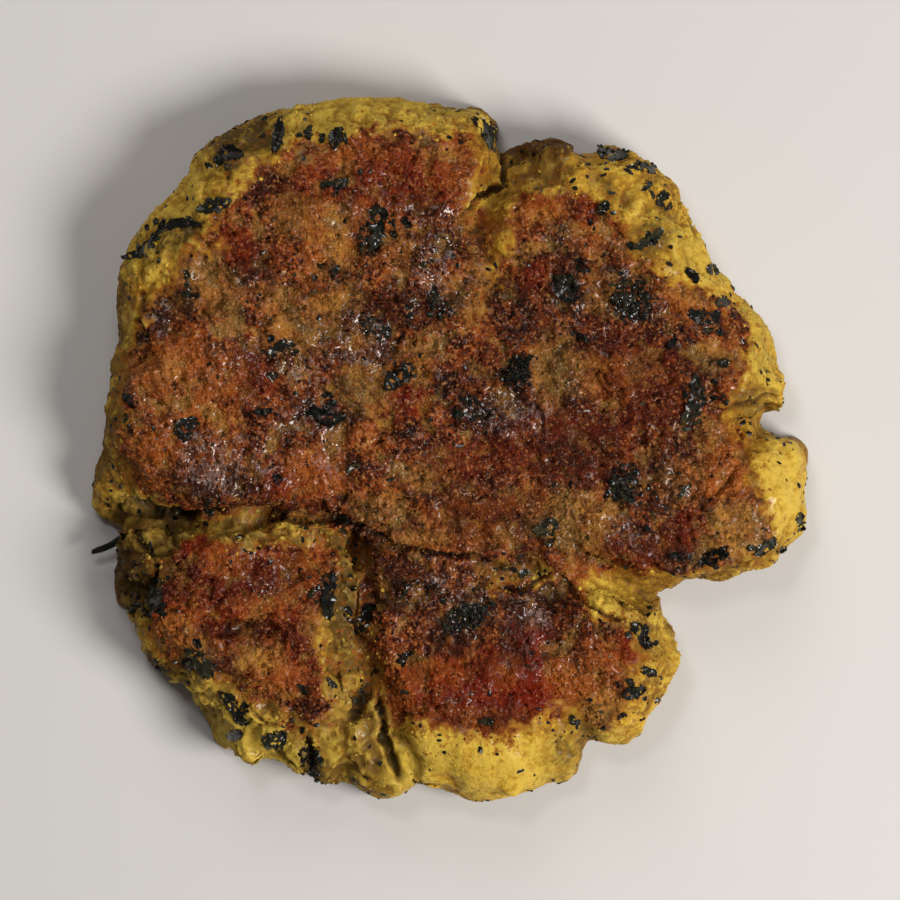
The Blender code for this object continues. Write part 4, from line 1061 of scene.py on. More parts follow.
# %% The mash's colour
MASH_SHADE = (0.150, 0.074, 0.012)
MASH_OCHRE = (0.375, 0.188, 0.022)
MASH_YELLOW = (0.520, 0.298, 0.030)
MASH_PALE = (0.625, 0.420, 0.058)
MASH_GREYER = (0.330, 0.215, 0.045)
MASH_OLIVE_STAIN_AND_SHADE = (0.092, 0.055, 0.012)
MASH_BROWN = (0.150, 0.072, 0.013)
MASH_FRECKLE = (0.250, 0.060, 0.011)
MASH_HOLLOW_SHADE = (0.085, 0.042, 0.009)
MASH_FOOT = (0.190, 0.080, 0.012)
MASH_SINGED_AND_SHADOW = (0.052, 0.014, 0.004)
MASH_SHADOW = (0.030, 0.018, 0.006)
HERB_BLACK = (0.010, 0.011, 0.007)
MASH_DROP = 0.78  # taken off the sum, so that it lands on the ramp's range
MASH_TONES = [(0.25, MASH_SHADE), (0.50, MASH_OCHRE), (0.80, MASH_YELLOW), (1.0, MASH_PALE)]


def mash_colour(tree, place):
    """Broad ochre tones, with painted light and shade, stains, browned bits and specks laid over them in
    turn.
    """
    broad = soft_noise(tree, place, 7 * MM, 3.0, 0.55)
    close = soft_noise(tree, place, 1.6 * MM, 4.0, 0.65)
    mealy = soft_noise(tree, place, 0.7 * MM, 2.0, 0.6)
    wisps = soft_noise(tree, place, 2.6 * MM, 4.0, 0.65, 0.8)
    # Painted light: the lit places raise the tone towards pale yellow, and less shade and fewer herb flecks
    # are laid there
    bright, crumbly = carried(tree, "bright"), carried(tree, "crumbly")
    # Painted light and shade: besides its random tone, the mash is lighter where the skin bulges and darker
    # in its hollows
    light = weighted(tree, (broad, 0.9), (close, 1.2), (mealy, 0.7), bright=0.38, raised=0.14, hollow=-0.8)
    shaded = between(tree, bright, 0.3, 1.0, 1.0, 0.2)
    greyer = times(tree, between(tree, crumbly, 0.4, 1.0), between(tree, broad, 0.62, 0.42, 0.45, 1.0),
                   shaded)
    # Painted shade: a darker brown in low, hollow places, more where the mash is crumbly and less where it is
    # lit
    low = between(tree, weighted(tree, raised=-1.0, hollow=1.2), 0.15, 0.75, 0.0, 0.9)
    low = times(tree, low, between(tree, crumbly, 0.0, 1.0, 0.5, 0.7),
                between(tree, shaded, 0.0, 1.0, 0.4, 1.0))
    # Olive herb stain, which also paints shade where its places lie on the shaded west rim and in crevices
    olive_stain_and_shade = times(tree, carried(tree, "olive"), between(tree, wisps, 0.38, 0.58, 0.25, 0.95))
    spread = between(tree, weighted(tree, (wisps, 1.0), bright=-0.12, crumbly=0.05), 0.52, 0.68, 0.0, 0.75)
    # Painted shadow: the mash goes near black down in the cracks
    crack_shadow = between(tree, carried(tree, "crack"), 0.2, 1.4, 0.0, 0.85)
    foot = weighted(tree, (carried(tree, "up_the_side"), 1.0), (wisps, 1.4))
    foot = between(tree, foot, 1.55, 0.75, 0.0, 0.85)
    # Dark brown for singed mash, which also paints shadow on the lump in the north valley and in notches of
    # the rim
    singed = times(tree, carried(tree, "singed"), between(tree, close, 0.35, 0.6, 0.5, 0.95))
    freckles = use_group(tree, SPECKS, Vector=place, Spacing=2.4 * MM, Size=0.20, Share=0.30)[0]
    flecks = use_group(tree, SPECKS, Vector=place, Spacing=1.9 * MM, Size=0.17, Share=0.24)[0]
    few = between(tree, bright, 0.0, 1.0, 0.9, 0.15)
    layers = [(greyer, MASH_GREYER), (low, MASH_HOLLOW_SHADE), (olive_stain_and_shade, MASH_OLIVE_STAIN_AND_SHADE), (spread, MASH_BROWN),
              (crack_shadow, MASH_SHADOW), (foot, MASH_FOOT), (singed, MASH_SINGED_AND_SHADOW),
              (times(tree, freckles, 0.6), MASH_FRECKLE), (times(tree, flecks, few), HERB_BLACK)]
    colour = ramp(tree, sums(tree, "SUBTRACT", light, MASH_DROP), MASH_TONES)
    for share, hue in layers:
        colour = blend(tree, share, colour, hue)
    return colour


# %% [markdown]
# ### Crust
# One number says how toasted each spot is. It adds up a wide drift, patches of a few millimetres and a
# close mottle, and the marked places push it darker or lighter. Painted shade lowers it in hollows and
# cracks. The skin and the loose grains on it share this number, so a dark patch has dark grains. The ramp
# runs from nearly black, through red-brown, to the tan of a grain that barely caught.

# %% How toasted a spot is
TOAST_DROP = 1.285  # taken off the sum, so that it lands on the ramp's range


def toast_group():
    inputs = {"Vector": None, "Own tone": 0.5}
    tree, group_in, group_out = new_tree("toast", "ShaderNodeTree", inputs, ["Toast"])
    place = group_in["Vector"]
    drift = soft_noise(tree, place, 15 * MM, 2.0)
    patches = soft_noise(tree, place, 5.0 * MM, 3.0, 0.6, 0.8)
    mottle = soft_noise(tree, place, 1.5 * MM, 3.0, 0.65)
    toast = weighted(tree, (drift, 0.5), (patches, 1.6), (mottle, 0.9), (group_in["Own tone"], 0.24))
    # Raised spots are darker where the pan browned them; painted shade darkens the hollows and cracks
    toast = weighted(tree, (toast, 1.0), raised=-0.10, hollow=-0.35, crack=-0.22)
    tree.links.new(sums(tree, "SUBTRACT", toast, TOAST_DROP), group_out.inputs[0])
    return tree


TOAST_NUMBER = toast_group()
print("toast is one number from", len(TOAST_NUMBER.nodes), "nodes")

# %% The crust's colour
TOAST = [
    (0.04, (0.018, 0.0050, 0.0028)),
    (0.24, (0.066, 0.0125, 0.0042)),
    (0.41, (0.145, 0.0265, 0.0060)),
    (0.56, (0.250, 0.0530, 0.0085)),
    (0.73, (0.335, 0.1100, 0.0210)),
    (0.95, (0.450, 0.2600, 0.0900)),
]
RED_TOAST = (0.155, 0.0115, 0.0026)
ORANGE_TOAST = (0.340, 0.0880, 0.0120)
GOLD_TOAST = (0.430, 0.1950, 0.0330)
OLIVE_TOAST = (0.225, 0.1240, 0.0260)
DARK_TOAST = (0.032, 0.0085, 0.0040)
CHAR = (0.009, 0.008, 0.006)
# A lilac-grey painted sheen: light reflected off an oily film, painted into the crust's colour
PAINTED_SHEEN = (0.270, 0.170, 0.150)
# Pale flecks, partly pale crumbs of crust and partly painted glints
PALE_FLECK_AND_GLINT = (0.440, 0.185, 0.062)


def crust_colour(tree, place, own_tone):
    """The toast ramp, with each kind of marked place laid over it in turn."""
    toast = use_group(tree, TOAST_NUMBER, Vector=place, Own_tone=own_tone)["Toast"]
    patchy = soft_noise(tree, place, 2.4 * MM, 3.0, 0.6)
    other = sums(tree, "SUBTRACT", 1.0, patchy)
    greener = soft_noise(tree, place, 6 * MM, 2.0)
    deep_red = carried(tree, "deep_red")
    dip = weighted(tree, (carried(tree, "raised"), -1.0), (patchy, 1.6), (greener, 2.0))
    dip = times(tree, between(tree, dip, 2.1, 2.65, 0.0, 0.75), between(tree, deep_red, 0.0, 1.0, 1.0, 0.1))
    red = times(tree, deep_red, between(tree, other, 0.36, 0.56, 0.45, 1.0))
    orange = times(tree, carried(tree, "orange"), between(tree, patchy, 0.36, 0.56, 0.45, 1.0))
    gold = times(tree, carried(tree, "golden"), between(tree, patchy, 0.38, 0.6, 0.35, 1.0))
    gold = sums(tree, "MAXIMUM", gold, dip)
    golden = blend(tree, between(tree, greener, 0.42, 0.58), GOLD_TOAST, OLIVE_TOAST)
    dark = times(tree, carried(tree, "dark"), between(tree, other, 0.36, 0.56, 0.3, 0.95))
    # Pale flecks and painted glints: fine dots, fewer on the dark and deep red places
    pale_flecks_and_glints = weighted(tree, (soft_noise(tree, place, 0.62 * MM, 1.0), 1.0), (patchy, 0.25),
                    golden=0.03, dark=-0.06, deep_red=-0.06)
    pale_flecks_and_glints = between(tree, pale_flecks_and_glints, 0.67, 0.80, 0.0, 0.55)
    # Painted sheen: lilac-grey streaks in oily places, weaker on the deep red
    drawn_out = vector_sums(tree, "MULTIPLY", place, (1.0, 0.4, 1.0))
    streaks = soft_noise(tree, drawn_out, 0.8 * MM, 2.0, 0.6, 0.5)
    smear = weighted(tree, (streaks, 1.0), (soft_noise(tree, place, 5 * MM, 1.0), 0.3), oily=0.16)
    painted_sheen = times(tree, between(tree, smear, 0.84, 0.96, 0.0, 0.6),
                   between(tree, deep_red, 0.0, 1.0, 1.0, 0.35))
    colour = ramp(tree, toast, TOAST)
    for share, hue in ((red, RED_TOAST), (orange, ORANGE_TOAST), (gold, golden), (dark, DARK_TOAST),
                       (pale_flecks_and_glints, PALE_FLECK_AND_GLINT), (painted_sheen, PAINTED_SHEEN)):
        colour = blend(tree, share, colour, hue)
    return colour


# %% The skin's material
EDGE_TOAST = (0.260, 0.080, 0.010)


def skin_material():
    material, tree, shader = new_material("fried_potato_skin")
    place = object_place(tree)
    grain = use_group(tree, GRAIN, Vector=place, Grain_size=0.72 * MM)
    crust = carried(tree, "crust")
    ragged = soft_noise(tree, place, 1.1 * MM, 3.0, 0.7)
    browned = between(tree, weighted(tree, (crust, 1.0), (ragged, 0.9)), 0.78, 1.02)
    singed = between(tree, weighted(tree, (crust, 1.0), (ragged, 0.8)), 0.42, 0.80, 0.0, 0.75)
    tips = soft_noise(tree, place, 1.3 * MM, 2.0, 0.6)
    tips = weighted(tree, (carried(tree, "near_crust"), 0.20), (tips, 1.0))
    charred = times(tree, carried(tree, "burnt"), between(tree, ragged, 0.35, 0.6, 0.35, 0.95))
    colour = mash_colour(tree, place)
    for share, hue in ((singed, EDGE_TOAST), (between(tree, tips, 0.70, 0.80, 0.0, 0.8), EDGE_TOAST),
                       (browned, crust_colour(tree, place, grain["Tone"])), (charred, CHAR)):
        colour = blend(tree, share, colour, hue)

    oily = soft_noise(tree, place, 3.0 * MM, 3.0, 0.6)
    fine = soft_noise(tree, place, 0.6 * MM, 2.0)
    rough = between(tree, weighted(tree, (oily, 1.0), (fine, 0.5)), 0.6, 0.9, 0.40, 0.75)
    oil = between(tree, weighted(tree, (oily, 1.0), oily=0.25, deep_red=-0.14), 0.50, 0.78, 0.08, 1.0)
    oil = times(tree, oil, between(tree, browned, 0.0, 1.0, 0.5, 1.0))
    cream = times(tree, soft_noise(tree, place, 0.8 * MM, 4.0, 0.7), 1.6)
    crisp = sums(tree, "MULTIPLY_ADD", soft_noise(tree, place, 0.35 * MM, 3.0, 0.6), 0.8, grain["Height"])
    bumps = bumped(tree, blend(tree, browned, cream, crisp), 1.0, 0.26 * MM)
    set_inputs(tree, shader, Base_Color=colour, Roughness=rough, Coat_Weight=oil, Coat_Roughness=0.20,
               Specular_IOR_Level=0.05, Subsurface_Weight=0.12, Subsurface_Radius=(1.0, 0.55, 0.15),
               Subsurface_Scale=1.2 * MM, Normal=bumps)
    return material


skin.data.materials.append(skin_material())
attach(skin, BODY)
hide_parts(NODE)
print("skin finished, with", len(skin.data.materials[0].node_tree.nodes), "nodes in its material")

# %% [markdown]
# ## Loose grains and crumbs
# Close up, a fried crust is covered in crisp little grains that catch the light. Thousands of them are
# too many to place by hand. One scattering tree spreads points where the skin's numbers ask for them,
# puts a dented twenty-sided crumb on each, turned to the surface and sunk part of the way in, and gives
# each its own tone.

# %% The scattering tree
DENT_DEPTH = 1.8  # in ball radii
BALL_FACES = 20


def scatter_tree():
    inputs = {"Geometry": None, "Where": "crust", "Least apart": 0.4 * MM, "Per square metre": 1.1e6,
              "Least size": 0.2 * MM, "Greatest size": 0.45 * MM, "Length": 1.3, "Thickness": 0.7,
              "Sunk": 0.3, "Lean": 0.4, "Seed": 1, "Material": None}
    tree, group_in, group_out = new_tree("scattered_crumbs", "GeometryNodeTree", inputs, ["Geometry"])
    wanted = put(tree, "GeometryNodeInputNamedAttribute", {"Name": group_in["Where"]}, data_type="FLOAT")
    points = put(tree, "GeometryNodeDistributePointsOnFaces",
                 {"Mesh": group_in["Geometry"], "Distance Min": group_in["Least apart"],
                  "Density Max": group_in["Per square metre"], "Density Factor": wanted.outputs["Attribute"],
                  "Seed": group_in["Seed"]}, distribute_method="POISSON")
    ball = put(tree, "GeometryNodeMeshIcoSphere", {"Radius": 1.0, "Subdivisions": 1})
    dents = put(tree, "ShaderNodeTexNoise", {"Scale": 1.6, "Detail": 1.0}).outputs["Color"]
    dents = vector_sums(tree, "SCALE", vector_sums(tree, "SUBTRACT", dents, (0.5, 0.5, 0.5)), DENT_DEPTH)
    dented = put(tree, "GeometryNodeSetPosition", {"Geometry": ball.outputs["Mesh"], "Offset": dents})

    def random_number(low, high, shift):
        seed = sums(tree, "ADD", group_in["Seed"], float(shift))
        return put(tree, "FunctionNodeRandomValue", {2: low, 3: high, "Seed": seed},
                   data_type="FLOAT").outputs[1]

    size = random_number(group_in["Least size"], group_in["Greatest size"], 1)
    stretch = times(tree, size, random_number(1.0, group_in["Length"], 2))
    flat = times(tree, size, group_in["Thickness"])
    shape = put(tree, "ShaderNodeCombineXYZ", {0: stretch, 1: size, 2: flat}).outputs[0]
    other_way = times(tree, group_in["Lean"], -1.0)
    turns = {axis: random_number(other_way, group_in["Lean"], 3 + axis) for axis in (0, 1)}
    turns[2] = random_number(0.0, 2 * math.pi, 5)
    own = put(tree, "FunctionNodeEulerToRotation", {0: put(tree, "ShaderNodeCombineXYZ", turns).outputs[0]})
    turned = put(tree, "FunctionNodeRotateRotation",
                 {0: points.outputs["Rotation"], 1: own.outputs[0]}, rotation_space="LOCAL")
    crumbs = put(tree, "GeometryNodeInstanceOnPoints",
                 {"Points": points.outputs["Points"], "Instance": dented.outputs[0],
                  "Rotation": turned.outputs[0], "Scale": shape})
    toned = put(tree, "GeometryNodeStoreNamedAttribute",
                {"Geometry": crumbs.outputs[0], "Name": "tone", "Value": random_number(0.0, 1.0, 6)},
                data_type="FLOAT", domain="INSTANCE")
    depth = times(tree, group_in["Greatest size"], -1.0, group_in["Sunk"])
    down = put(tree, "ShaderNodeCombineXYZ", {2: depth})
    sunk = put(tree, "GeometryNodeTranslateInstances",
               {"Instances": toned.outputs[0], "Translation": down.outputs[0], "Local Space": True})
    real = put(tree, "GeometryNodeRealizeInstances", {"Geometry": sunk.outputs[0]})
    painted = put(tree, "GeometryNodeSetMaterial",
                  {"Geometry": real.outputs[0], "Material": group_in["Material"]})
    tree.links.new(painted.outputs[0], group_out.inputs[0])
    return tree


SCATTER = scatter_tree()
MOST_TRIANGLES = 199000
print("one tree of", len(SCATTER.nodes), "nodes scatters every kind of crumb")


def scatter(name, material, **values):
    """Scatters one kind of crumb over the skin and makes it a piece."""
    item = new_piece(name, skin.data.copy())
    item.data.materials.clear()
    run_tree(item, SCATTER, Material=material, **values)
    keep_in_box(item.data)
    count = triangle_count(item.data)
    print(name, count // BALL_FACES, "crumbs,", count, "triangles")
    if count > MOST_TRIANGLES:
        raise ValueError(f"{name} has too many triangles")
    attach(item, BODY)


# %% Where the crumbs may lie
def mark_the_scatter(mesh):
    places, _ = read_points(mesh)
    values = {}
    for name in ("crust", "bright", "olive", "crumbly", "burnt", "under_leaf"):
        values[name] = np.empty(len(mesh.vertices), np.float32)
        mesh.attributes[name].data.foreach_get("value", values[name])
    crust = values["crust"]
    top = smooth_step(places[:, 2] / MM, 4.0, 9.0) * (1 - values["under_leaf"])
    clumps = np.clip(0.5 + fray(places, 6.0, 9.0), 0, 1)
    edge = crust * (1 - crust) * 4
    herby = 0.2 + 0.4 * (1 - crust) * (1 - 0.9 * values["bright"]) + 0.6 * values["olive"] \
        + 0.5 * values["burnt"]
    mash = (1 - crust) * (0.12 + values["crumbly"])
    wanted = {
        "on_crust": smooth_step(crust, 0.35, 0.9) * top,
        "on_edge": np.clip((0.30 + edge) * smooth_step(crust, 0.1, 0.4) * top, 0, 1),
        "on_herby": np.clip(herby * clumps * smooth_step(places[:, 2] / MM, 1.0, 4.0), 0, 1),
        "on_burnt": smooth_step(values["burnt"], 0.4, 0.9) * top,
        "on_mash": np.clip(mash * clumps * top, 0, 1),
    }
    for name, shares in wanted.items():
        write_number(mesh, name, shares)
        print(name, "covers", round(100 * float(shares.mean())), "% of the skin's points")


mark_the_scatter(skin.data)

# %% Toasted and golden grains
# For each kind of grain, its least and its greatest own tone
GRAIN_TONE = {"toasted": (-1.2, 1.2), "dark": (-2.2, -0.2), "golden": (0.4, 2.0)}


def grain_material(name, tones, coat):
    material, tree, shader = new_material(name)
    place = object_place(tree)
    own = between(tree, carried(tree, "tone"), 0.0, 1.0, *tones)
    mottle = soft_noise(tree, place, 0.5 * MM, 2.0)
    drift = soft_noise(tree, place, 6 * MM, 2.0)
    oil = weighted(tree, (drift, 1.0), oily=0.3, deep_red=-0.15)
    set_inputs(tree, shader, Base_Color=crust_colour(tree, place, own),
               Roughness=between(tree, mottle, 0.3, 0.7, 0.28, 0.55),
               Coat_Weight=between(tree, oil, 0.50, 0.84, 0.1, coat), Coat_Roughness=0.20,
               Specular_IOR_Level=0.05, Normal=bumped(tree, mottle, 0.9, 0.15 * MM))
    return material


scatter("toasted_grains", grain_material("toasted_grain", GRAIN_TONE["toasted"], 1.0), Where="on_crust",
        Seed=3, Least_apart=0.55 * MM, Per_square_metre=1.0e6, Least_size=0.14 * MM,
        Greatest_size=0.38 * MM, Thickness=0.6, Length=1.6)
scatter("dark_grains", grain_material("dark_grain", GRAIN_TONE["dark"], 0.8), Where="on_crust", Seed=5,
        Least_apart=0.60 * MM, Per_square_metre=0.55e6, Least_size=0.12 * MM, Greatest_size=0.34 * MM,
        Thickness=0.6, Length=1.6)
scatter("golden_grains", grain_material("golden_grain", GRAIN_TONE["golden"], 0.8), Where="on_edge", Seed=8,
        Least_apart=0.55 * MM, Per_square_metre=0.7e6, Least_size=0.10 * MM, Greatest_size=0.26 * MM)


# %% [markdown]
# ## Herbs
# Chopped leaf went into the mash and fried to nearly black. The finest cuts are scattered as flat flecks.
# Each larger flake is a leaf of its own: a small sheet with a ragged outline, laid down on the skin so
# that it follows it, a little curled, and then given a leaf's thickness.

# %% Fried leaf and burnt bits
LEAF_TONES = [
    (0.52, (0.003, 0.003, 0.003)), (0.70, (0.008, 0.009, 0.007)),
    (0.84, (0.024, 0.024, 0.011)), (1.00, (0.080, 0.068, 0.022)),
]
LEAF_CRUMBED = (0.060, 0.022, 0.007)  # where brown crust clings to a leaf


def herb_material():
    material, tree, shader = new_material("fried_herb")
    place = object_place(tree)
    vein = soft_noise(tree, place, 0.8 * MM, 3.0, 0.6, 0.8)
    drift = soft_noise(tree, place, 9 * MM, 1.0)
    shade = weighted(tree, (vein, 0.75), (drift, 0.4), tone=0.22)
    crumbed = between(tree, soft_noise(tree, place, 0.9 * MM, 3.0, 0.7), 0.58, 0.68, 0.0, 0.6)
    crumple = sums(tree, "MULTIPLY_ADD", soft_noise(tree, place, 0.45 * MM, 3.0, 0.6), 0.7, vein)
    set_inputs(tree, shader, Base_Color=blend(tree, crumbed, ramp(tree, shade, LEAF_TONES), LEAF_CRUMBED),
               Roughness=between(tree, vein, 0.3, 0.7, 0.25, 0.6),
               Coat_Weight=between(tree, drift, 0.38, 0.62, 0.2, 0.8), Coat_Roughness=0.14,
               Specular_IOR_Level=0.06, Normal=bumped(tree, crumple, 1.0, 0.35 * MM))
    return material


def mash_crumb_material():
    material, tree, shader = new_material("mash_crumb")
    place = object_place(tree)
    own = carried(tree, "tone")
    pale = blend(tree, between(tree, own, 0.5, 1.0, 0.0, 0.6), mash_colour(tree, place), MASH_PALE)
    colour = blend(tree, between(tree, own, 0.0, 0.2, 0.7, 0.0), pale, MASH_BROWN)
    set_inputs(tree, shader, Base_Color=colour, Roughness=0.5, Specular_IOR_Level=0.1,
               Normal=bumped(tree, soft_noise(tree, place, 0.6 * MM, 3.0, 0.6), 0.8, 0.2 * MM))
    return material


HERB = herb_material()
scatter("herb_flecks", HERB, Where="on_herby", Seed=21, Least_apart=0.8 * MM, Per_square_metre=2.4e5,
        Least_size=0.10 * MM, Greatest_size=0.50 * MM, Length=2.2, Thickness=0.4, Sunk=0.35, Lean=0.5)
scatter("mash_crumbs", mash_crumb_material(), Where="on_mash", Seed=44, Least_apart=0.7 * MM,
        Per_square_metre=8.0e5, Least_size=0.12 * MM, Greatest_size=0.36 * MM, Length=1.8, Thickness=0.7,
        Sunk=0.4, Lean=0.8)
scatter("burnt_crumbs", HERB, Where="on_burnt", Seed=34, Least_apart=0.45 * MM, Per_square_metre=2.0e6,
        Least_size=0.22 * MM, Greatest_size=0.55 * MM, Length=1.6, Thickness=0.7, Sunk=0.2, Lean=0.8)


# %% Cut and lay the leaves
LEAF_THICKNESS = 0.22 * MM
LEAF_STIFFNESS = 6  # rounds of levelling: more lets a leaf bridge the crust's dips
LEAF_POINTS_ALONG, LEAF_POINTS_ACROSS = 16, 6
LEAF_LIFT, LEAF_CRINKLE, CRINKLE_SIZE = 0.08, 0.40, 1.1 * MM  # the first two in millimetres
SHARP_FOLD = math.radians(50)
SCRAPS_IN_CLUMP = 18
SCRAPS_BY_LEAF = 4


def on_skin(tree, x, y):
    """The highest place on the skin at x and y, or nothing beside it."""
    return tree.ray_cast(Vector((x, y, 1.0)), Vector((0, 0, -1)))[0]


def moved(x, y, along, sideways, angle):
    """A place moved along a turned line and to the side of it."""
    return (x + along * math.cos(angle) - sideways * math.sin(angle),
            y + along * math.sin(angle) + sideways * math.cos(angle))


def ragged_leaf(bm, tree, rng, x, y, length, width, turn, tilt):
    """One chopped shred of leaf on a bent spine, laid over the skin from above."""
    stations, across = LEAF_POINTS_ALONG, LEAF_POINTS_ACROSS
    centre = on_skin(tree, x, y)
    if centre is None:
        return
    angle = math.radians(turn)
    bend = rng.uniform(-0.45, 0.45)
    blunt = rng.uniform(0.8, 3.5)
    cupped = rng.uniform(0.0, 0.22)
    lean = Vector((rng.uniform(-tilt, tilt), rng.uniform(-tilt, tilt)))
    seed = Vector((rng.uniform(0, 90), rng.uniform(0, 90), 0))
    tone = rng.random()
    heights = np.zeros((stations, across))
    flat = {}
    for i in range(stations):
        along_share = 2 * i / (stations - 1) - 1
        for j in range(across):
            across_share = 2 * j / (across - 1) - 1
            ragged = 1 + 0.9 * noise.noise(seed + Vector((0.83 * i, 1.7 * j, 0))) \
                + 0.5 * noise.noise(seed + Vector((2.3 * i, 3.1 * j, 7)))
            half = 0.5 * width * max(0.16, 1 - abs(along_share) ** (1 + blunt)) ** 0.6 * ragged
            frayed = 1 + 0.25 * noise.noise(seed + Vector((0, 1.7 * j, 5 + i // 5)))
            along = 0.5 * length * along_share * frayed
            sideways = across_share * half + bend * 0.5 * length * (along_share ** 2 - 0.3)
            px, py = moved(x, y, along, sideways, angle)
            hit = on_skin(tree, px, py)
            too_low = hit is None or hit.z < centre.z - 1.5 * length
            heights[i, j] = centre.z if too_low else hit.z
            curled = cupped * abs(across_share) ** 3 * width
            flat[i, j] = (px, py, curled + max(0.0, lean.dot(Vector((along, sideways)))))
    for _ in range(LEAF_STIFFNESS):
        padded = np.pad(heights, 1, mode="edge")
        around = (padded[2:, 1:-1] + padded[:-2, 1:-1] + padded[1:-1, 2:] + padded[1:-1, :-2]) / 4
        heights = 0.5 * heights + 0.5 * around
    corner = {}
    for (i, j), (px, py, raised) in flat.items():
        crinkle = noise.noise(seed + Vector((px, py, 0)) / CRINKLE_SIZE)
        height = heights[i, j] + (LEAF_LIFT + LEAF_CRINKLE * crinkle) * MM + raised
        corner[i, j] = bm.verts.new((px, py, height))
        corner[i, j][bm.verts.layers.float["tone"]] = tone
    for i in range(stations - 1):
        for j in range(across - 1):
            bm.faces.new((corner[i, j], corner[i + 1, j], corner[i + 1, j + 1], corner[i, j + 1]))


def piece_from(bm, name):
    mesh = bpy.data.meshes.new(name)
    bm.to_mesh(mesh)
    bm.free()
    return new_piece(name, mesh)


def finish_herb(item):
    """Gives a herb piece its looks and its place in the part. It covers what the solid has there."""
    item.data.materials.append(HERB)
    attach(item, BODY)
    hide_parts(NODE)


def cut_scraps(rng):
    """Every scrap: place, length and width in millimetres, turn, and how far it may tilt."""
    scraps = [(x, y, rng.uniform(1.8, 3.6), rng.uniform(0.9, 1.7), rng.uniform(-90, 90), 0.25)
              for x, y in SMALL_LEAVES]
    for x, y, length, width, turn in LEAVES:
        if width < CLUMP_WIDTH:
            scraps.append((x, y, length, 0.85 * width, turn, 0.15))
            for _ in range(SCRAPS_BY_LEAF):
                scraps.append((x + rng.gauss(0, 0.35) * length, y + rng.gauss(0, 0.5) * width,
                               rng.uniform(0.8, 2.2), rng.uniform(0.5, 1.1), rng.uniform(-90, 90), 0.4))
            continue
        for _ in range(SCRAPS_IN_CLUMP):
            away, around = math.sqrt(rng.random()) * 0.42, rng.uniform(0, 2 * math.pi)
            along, across = away * length * math.cos(around), away * width * math.sin(around)
            scraps.append((*moved(x, y, along, across, math.radians(turn)),
                           rng.uniform(1.0, 2.6), rng.uniform(0.6, 1.3), rng.uniform(-90, 90), 0.5))
    return scraps


def lay_leaves(name):
    rng = random.Random(17)
    tree = BVHTree.FromObject(skin, bpy.context.evaluated_depsgraph_get())
    scraps = cut_scraps(rng)
    bm = bmesh.new()
    bm.verts.layers.float.new("tone")
    for x, y, length, width, turn, tilt in scraps:
        ragged_leaf(bm, tree, rng, (x + TABLE_MIDDLE[0]) * MM, (y + TABLE_MIDDLE[1]) * MM, length * MM,
                    width * MM, turn, tilt)
    bmesh.ops.triangulate(bm, faces=bm.faces)
    item = piece_from(bm, name)
    thick = item.modifiers.new("leaf_thickness", "SOLIDIFY")
    thick.thickness = LEAF_THICKNESS
    thick.offset = 0.0
    apply_modifiers(item)
    keep_in_box(item.data)
    item.data.shade_smooth()
    item.data.set_sharp_from_angle(angle=SHARP_FOLD)
    finish_herb(item)
    print(name, len(scraps), "scraps,", triangle_count(item.data), "triangles")


lay_leaves("herb_leaves")

# %% [markdown]
# ## The burnt stem
# One thin stalk sticks out at the west, charred right through. A ring of points is set round each place
# of its table, knobbly like a dried stalk, and the rings are joined into a closed tube with pointed ends.

# %% The stalk
STEM_SIDES = 10
STEM_KNOBS = 0.35  # how far noise moves the stalk's side in and out, as a share of its thickness
TIP_LENGTH = 0.2  # as a share of the first stretch


def burnt_stem(name):
    line = stem_points()
    bm = bmesh.new()
    rings = []
    for index, (point, entry) in enumerate(zip(line, STEM)):
        ahead = (line[min(index + 1, len(line) - 1)] - line[max(index - 1, 0)]).normalized()
        side = ahead.cross(Vector((0, 0, 1))).normalized()
        up = side.cross(ahead)
        ring = []
        for k in range(STEM_SIDES):
            angle = 2 * math.pi * k / STEM_SIDES
            knob = 1 + STEM_KNOBS * noise.noise(Vector((3.1 * index, math.cos(angle), math.sin(angle))))
            outward = math.cos(angle) * side + math.sin(angle) * up
            ring.append(bm.verts.new(point + entry[3] * MM * knob * outward))
        rings.append(ring)
    for low_ring, high_ring in zip(rings, rings[1:]):
        for k in range(STEM_SIDES):
            following = (k + 1) % STEM_SIDES
            bm.faces.new((low_ring[k], low_ring[following], high_ring[following], high_ring[k]))
    for ring, tip in ((rings[0], line[0] + (line[0] - line[1]) * TIP_LENGTH), (rings[-1], line[-1])):
        end = bm.verts.new(tip)
        for k in range(STEM_SIDES):
            bm.faces.new((ring[k], ring[(k + 1) % STEM_SIDES], end))
    bmesh.ops.recalc_face_normals(bm, faces=bm.faces)
    item = piece_from(bm, name)
    rounding = item.modifiers.new("round", "SUBSURF")
    rounding.levels = rounding.render_levels = 2
    apply_modifiers(item)
    keep_in_box(item.data)
    item.data.shade_smooth()
    finish_herb(item)
    print(name, triangle_count(item.data), "triangles")


burnt_stem("burnt_stem")

# %% [markdown]
# ## Floor, light and camera
# The cake is seen from straight above. A large soft light from the east-south-east shows its relief, a
# weaker one from the north opens the shadows, and a small one near the camera puts glints on the oily
# grains. A dim, warm world fills in the rest. The floor is plain and pale.

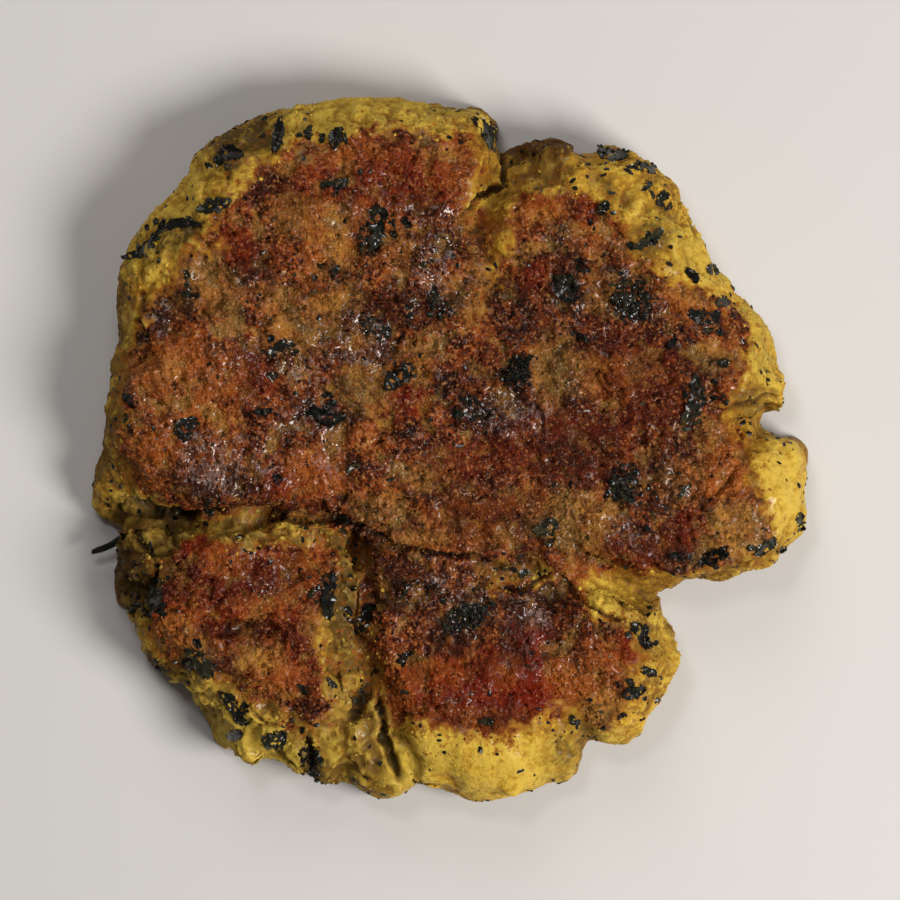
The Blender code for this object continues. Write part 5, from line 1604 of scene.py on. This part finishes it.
# %% Stage
FLOOR_SIZE = 6.0
CAMERA_LENS = 800.0
SENSOR = 36.0
CAKE_SHARE = 0.80  # how much of the picture's width the cake fills
FLOOR_COLOUR = (0.62, 0.61, 0.59, 1.0)
FLOOR_GAP = 0.05 * MM
LIGHTS = [  # name, place in metres, width in metres, power in watts, colour
    ("key", (0.57, -0.28, 0.60), 0.40, 8.4, (1.0, 0.97, 0.93)),
    ("fill", (-0.12, 0.62, 0.55), 0.5, 1.9, (1.0, 0.95, 0.89)),
    ("glint", (-0.16, 0.26, 0.8), 0.16, 1.0, (0.95, 0.93, 1.0)),
]
WORLD_COLOUR, WORLD_STRENGTH = (1.0, 0.95, 0.90, 1.0), 0.08


def plain_floor():
    bpy.ops.mesh.primitive_plane_add(size=FLOOR_SIZE)
    floor = bpy.context.object
    floor.name = "floor"
    floor.location.z = CAD_LOW.z - FLOOR_GAP
    material, tree, shader = new_material("pale_floor")
    set_inputs(tree, shader, Base_Color=FLOOR_COLOUR, Roughness=0.75)
    floor.data.materials.append(material)


def new_object(name, data, place):
    item = new_piece(name, data)
    item.location = place
    return item


def soft_light(name, place, size, power, colour):
    """A round soft light that faces the cake."""
    light = bpy.data.lights.new(name, "AREA")
    light.shape = "DISK"
    light.size = size
    light.energy = power
    light.color = colour
    item = new_object(name, light, place)
    item.rotation_euler = (-Vector(place)).to_track_quat("-Z", "Y").to_euler()


def overhead_camera():
    """A camera far above with a long lens, so that all of the cake is seen from straight above."""
    middle = (CAD_LOW + CAD_HIGH) / 2
    distance = max(CAKE_SIZE.x, CAKE_SIZE.y) / CAKE_SHARE * CAMERA_LENS / SENSOR + CAD_HIGH.z
    camera = bpy.data.cameras.new("camera")
    camera.lens = CAMERA_LENS
    camera.sensor_width = SENSOR
    camera.clip_start = 0.01
    bpy.context.scene.camera = new_object("camera", camera, (middle.x, middle.y, distance))
    return distance


plain_floor()
for light in LIGHTS:
    soft_light(*light)
camera_height = overhead_camera()
world = bpy.data.worlds.new("soft_room")
world.use_nodes = True
set_inputs(world.node_tree, world.node_tree.nodes["Background"], Color=WORLD_COLOUR, Strength=WORLD_STRENGTH)
bpy.context.scene.world = world
bpy.context.scene.view_settings.view_transform = "Standard"
print(len(LIGHTS), "lights, and a camera", round(camera_height, 2), "m up")
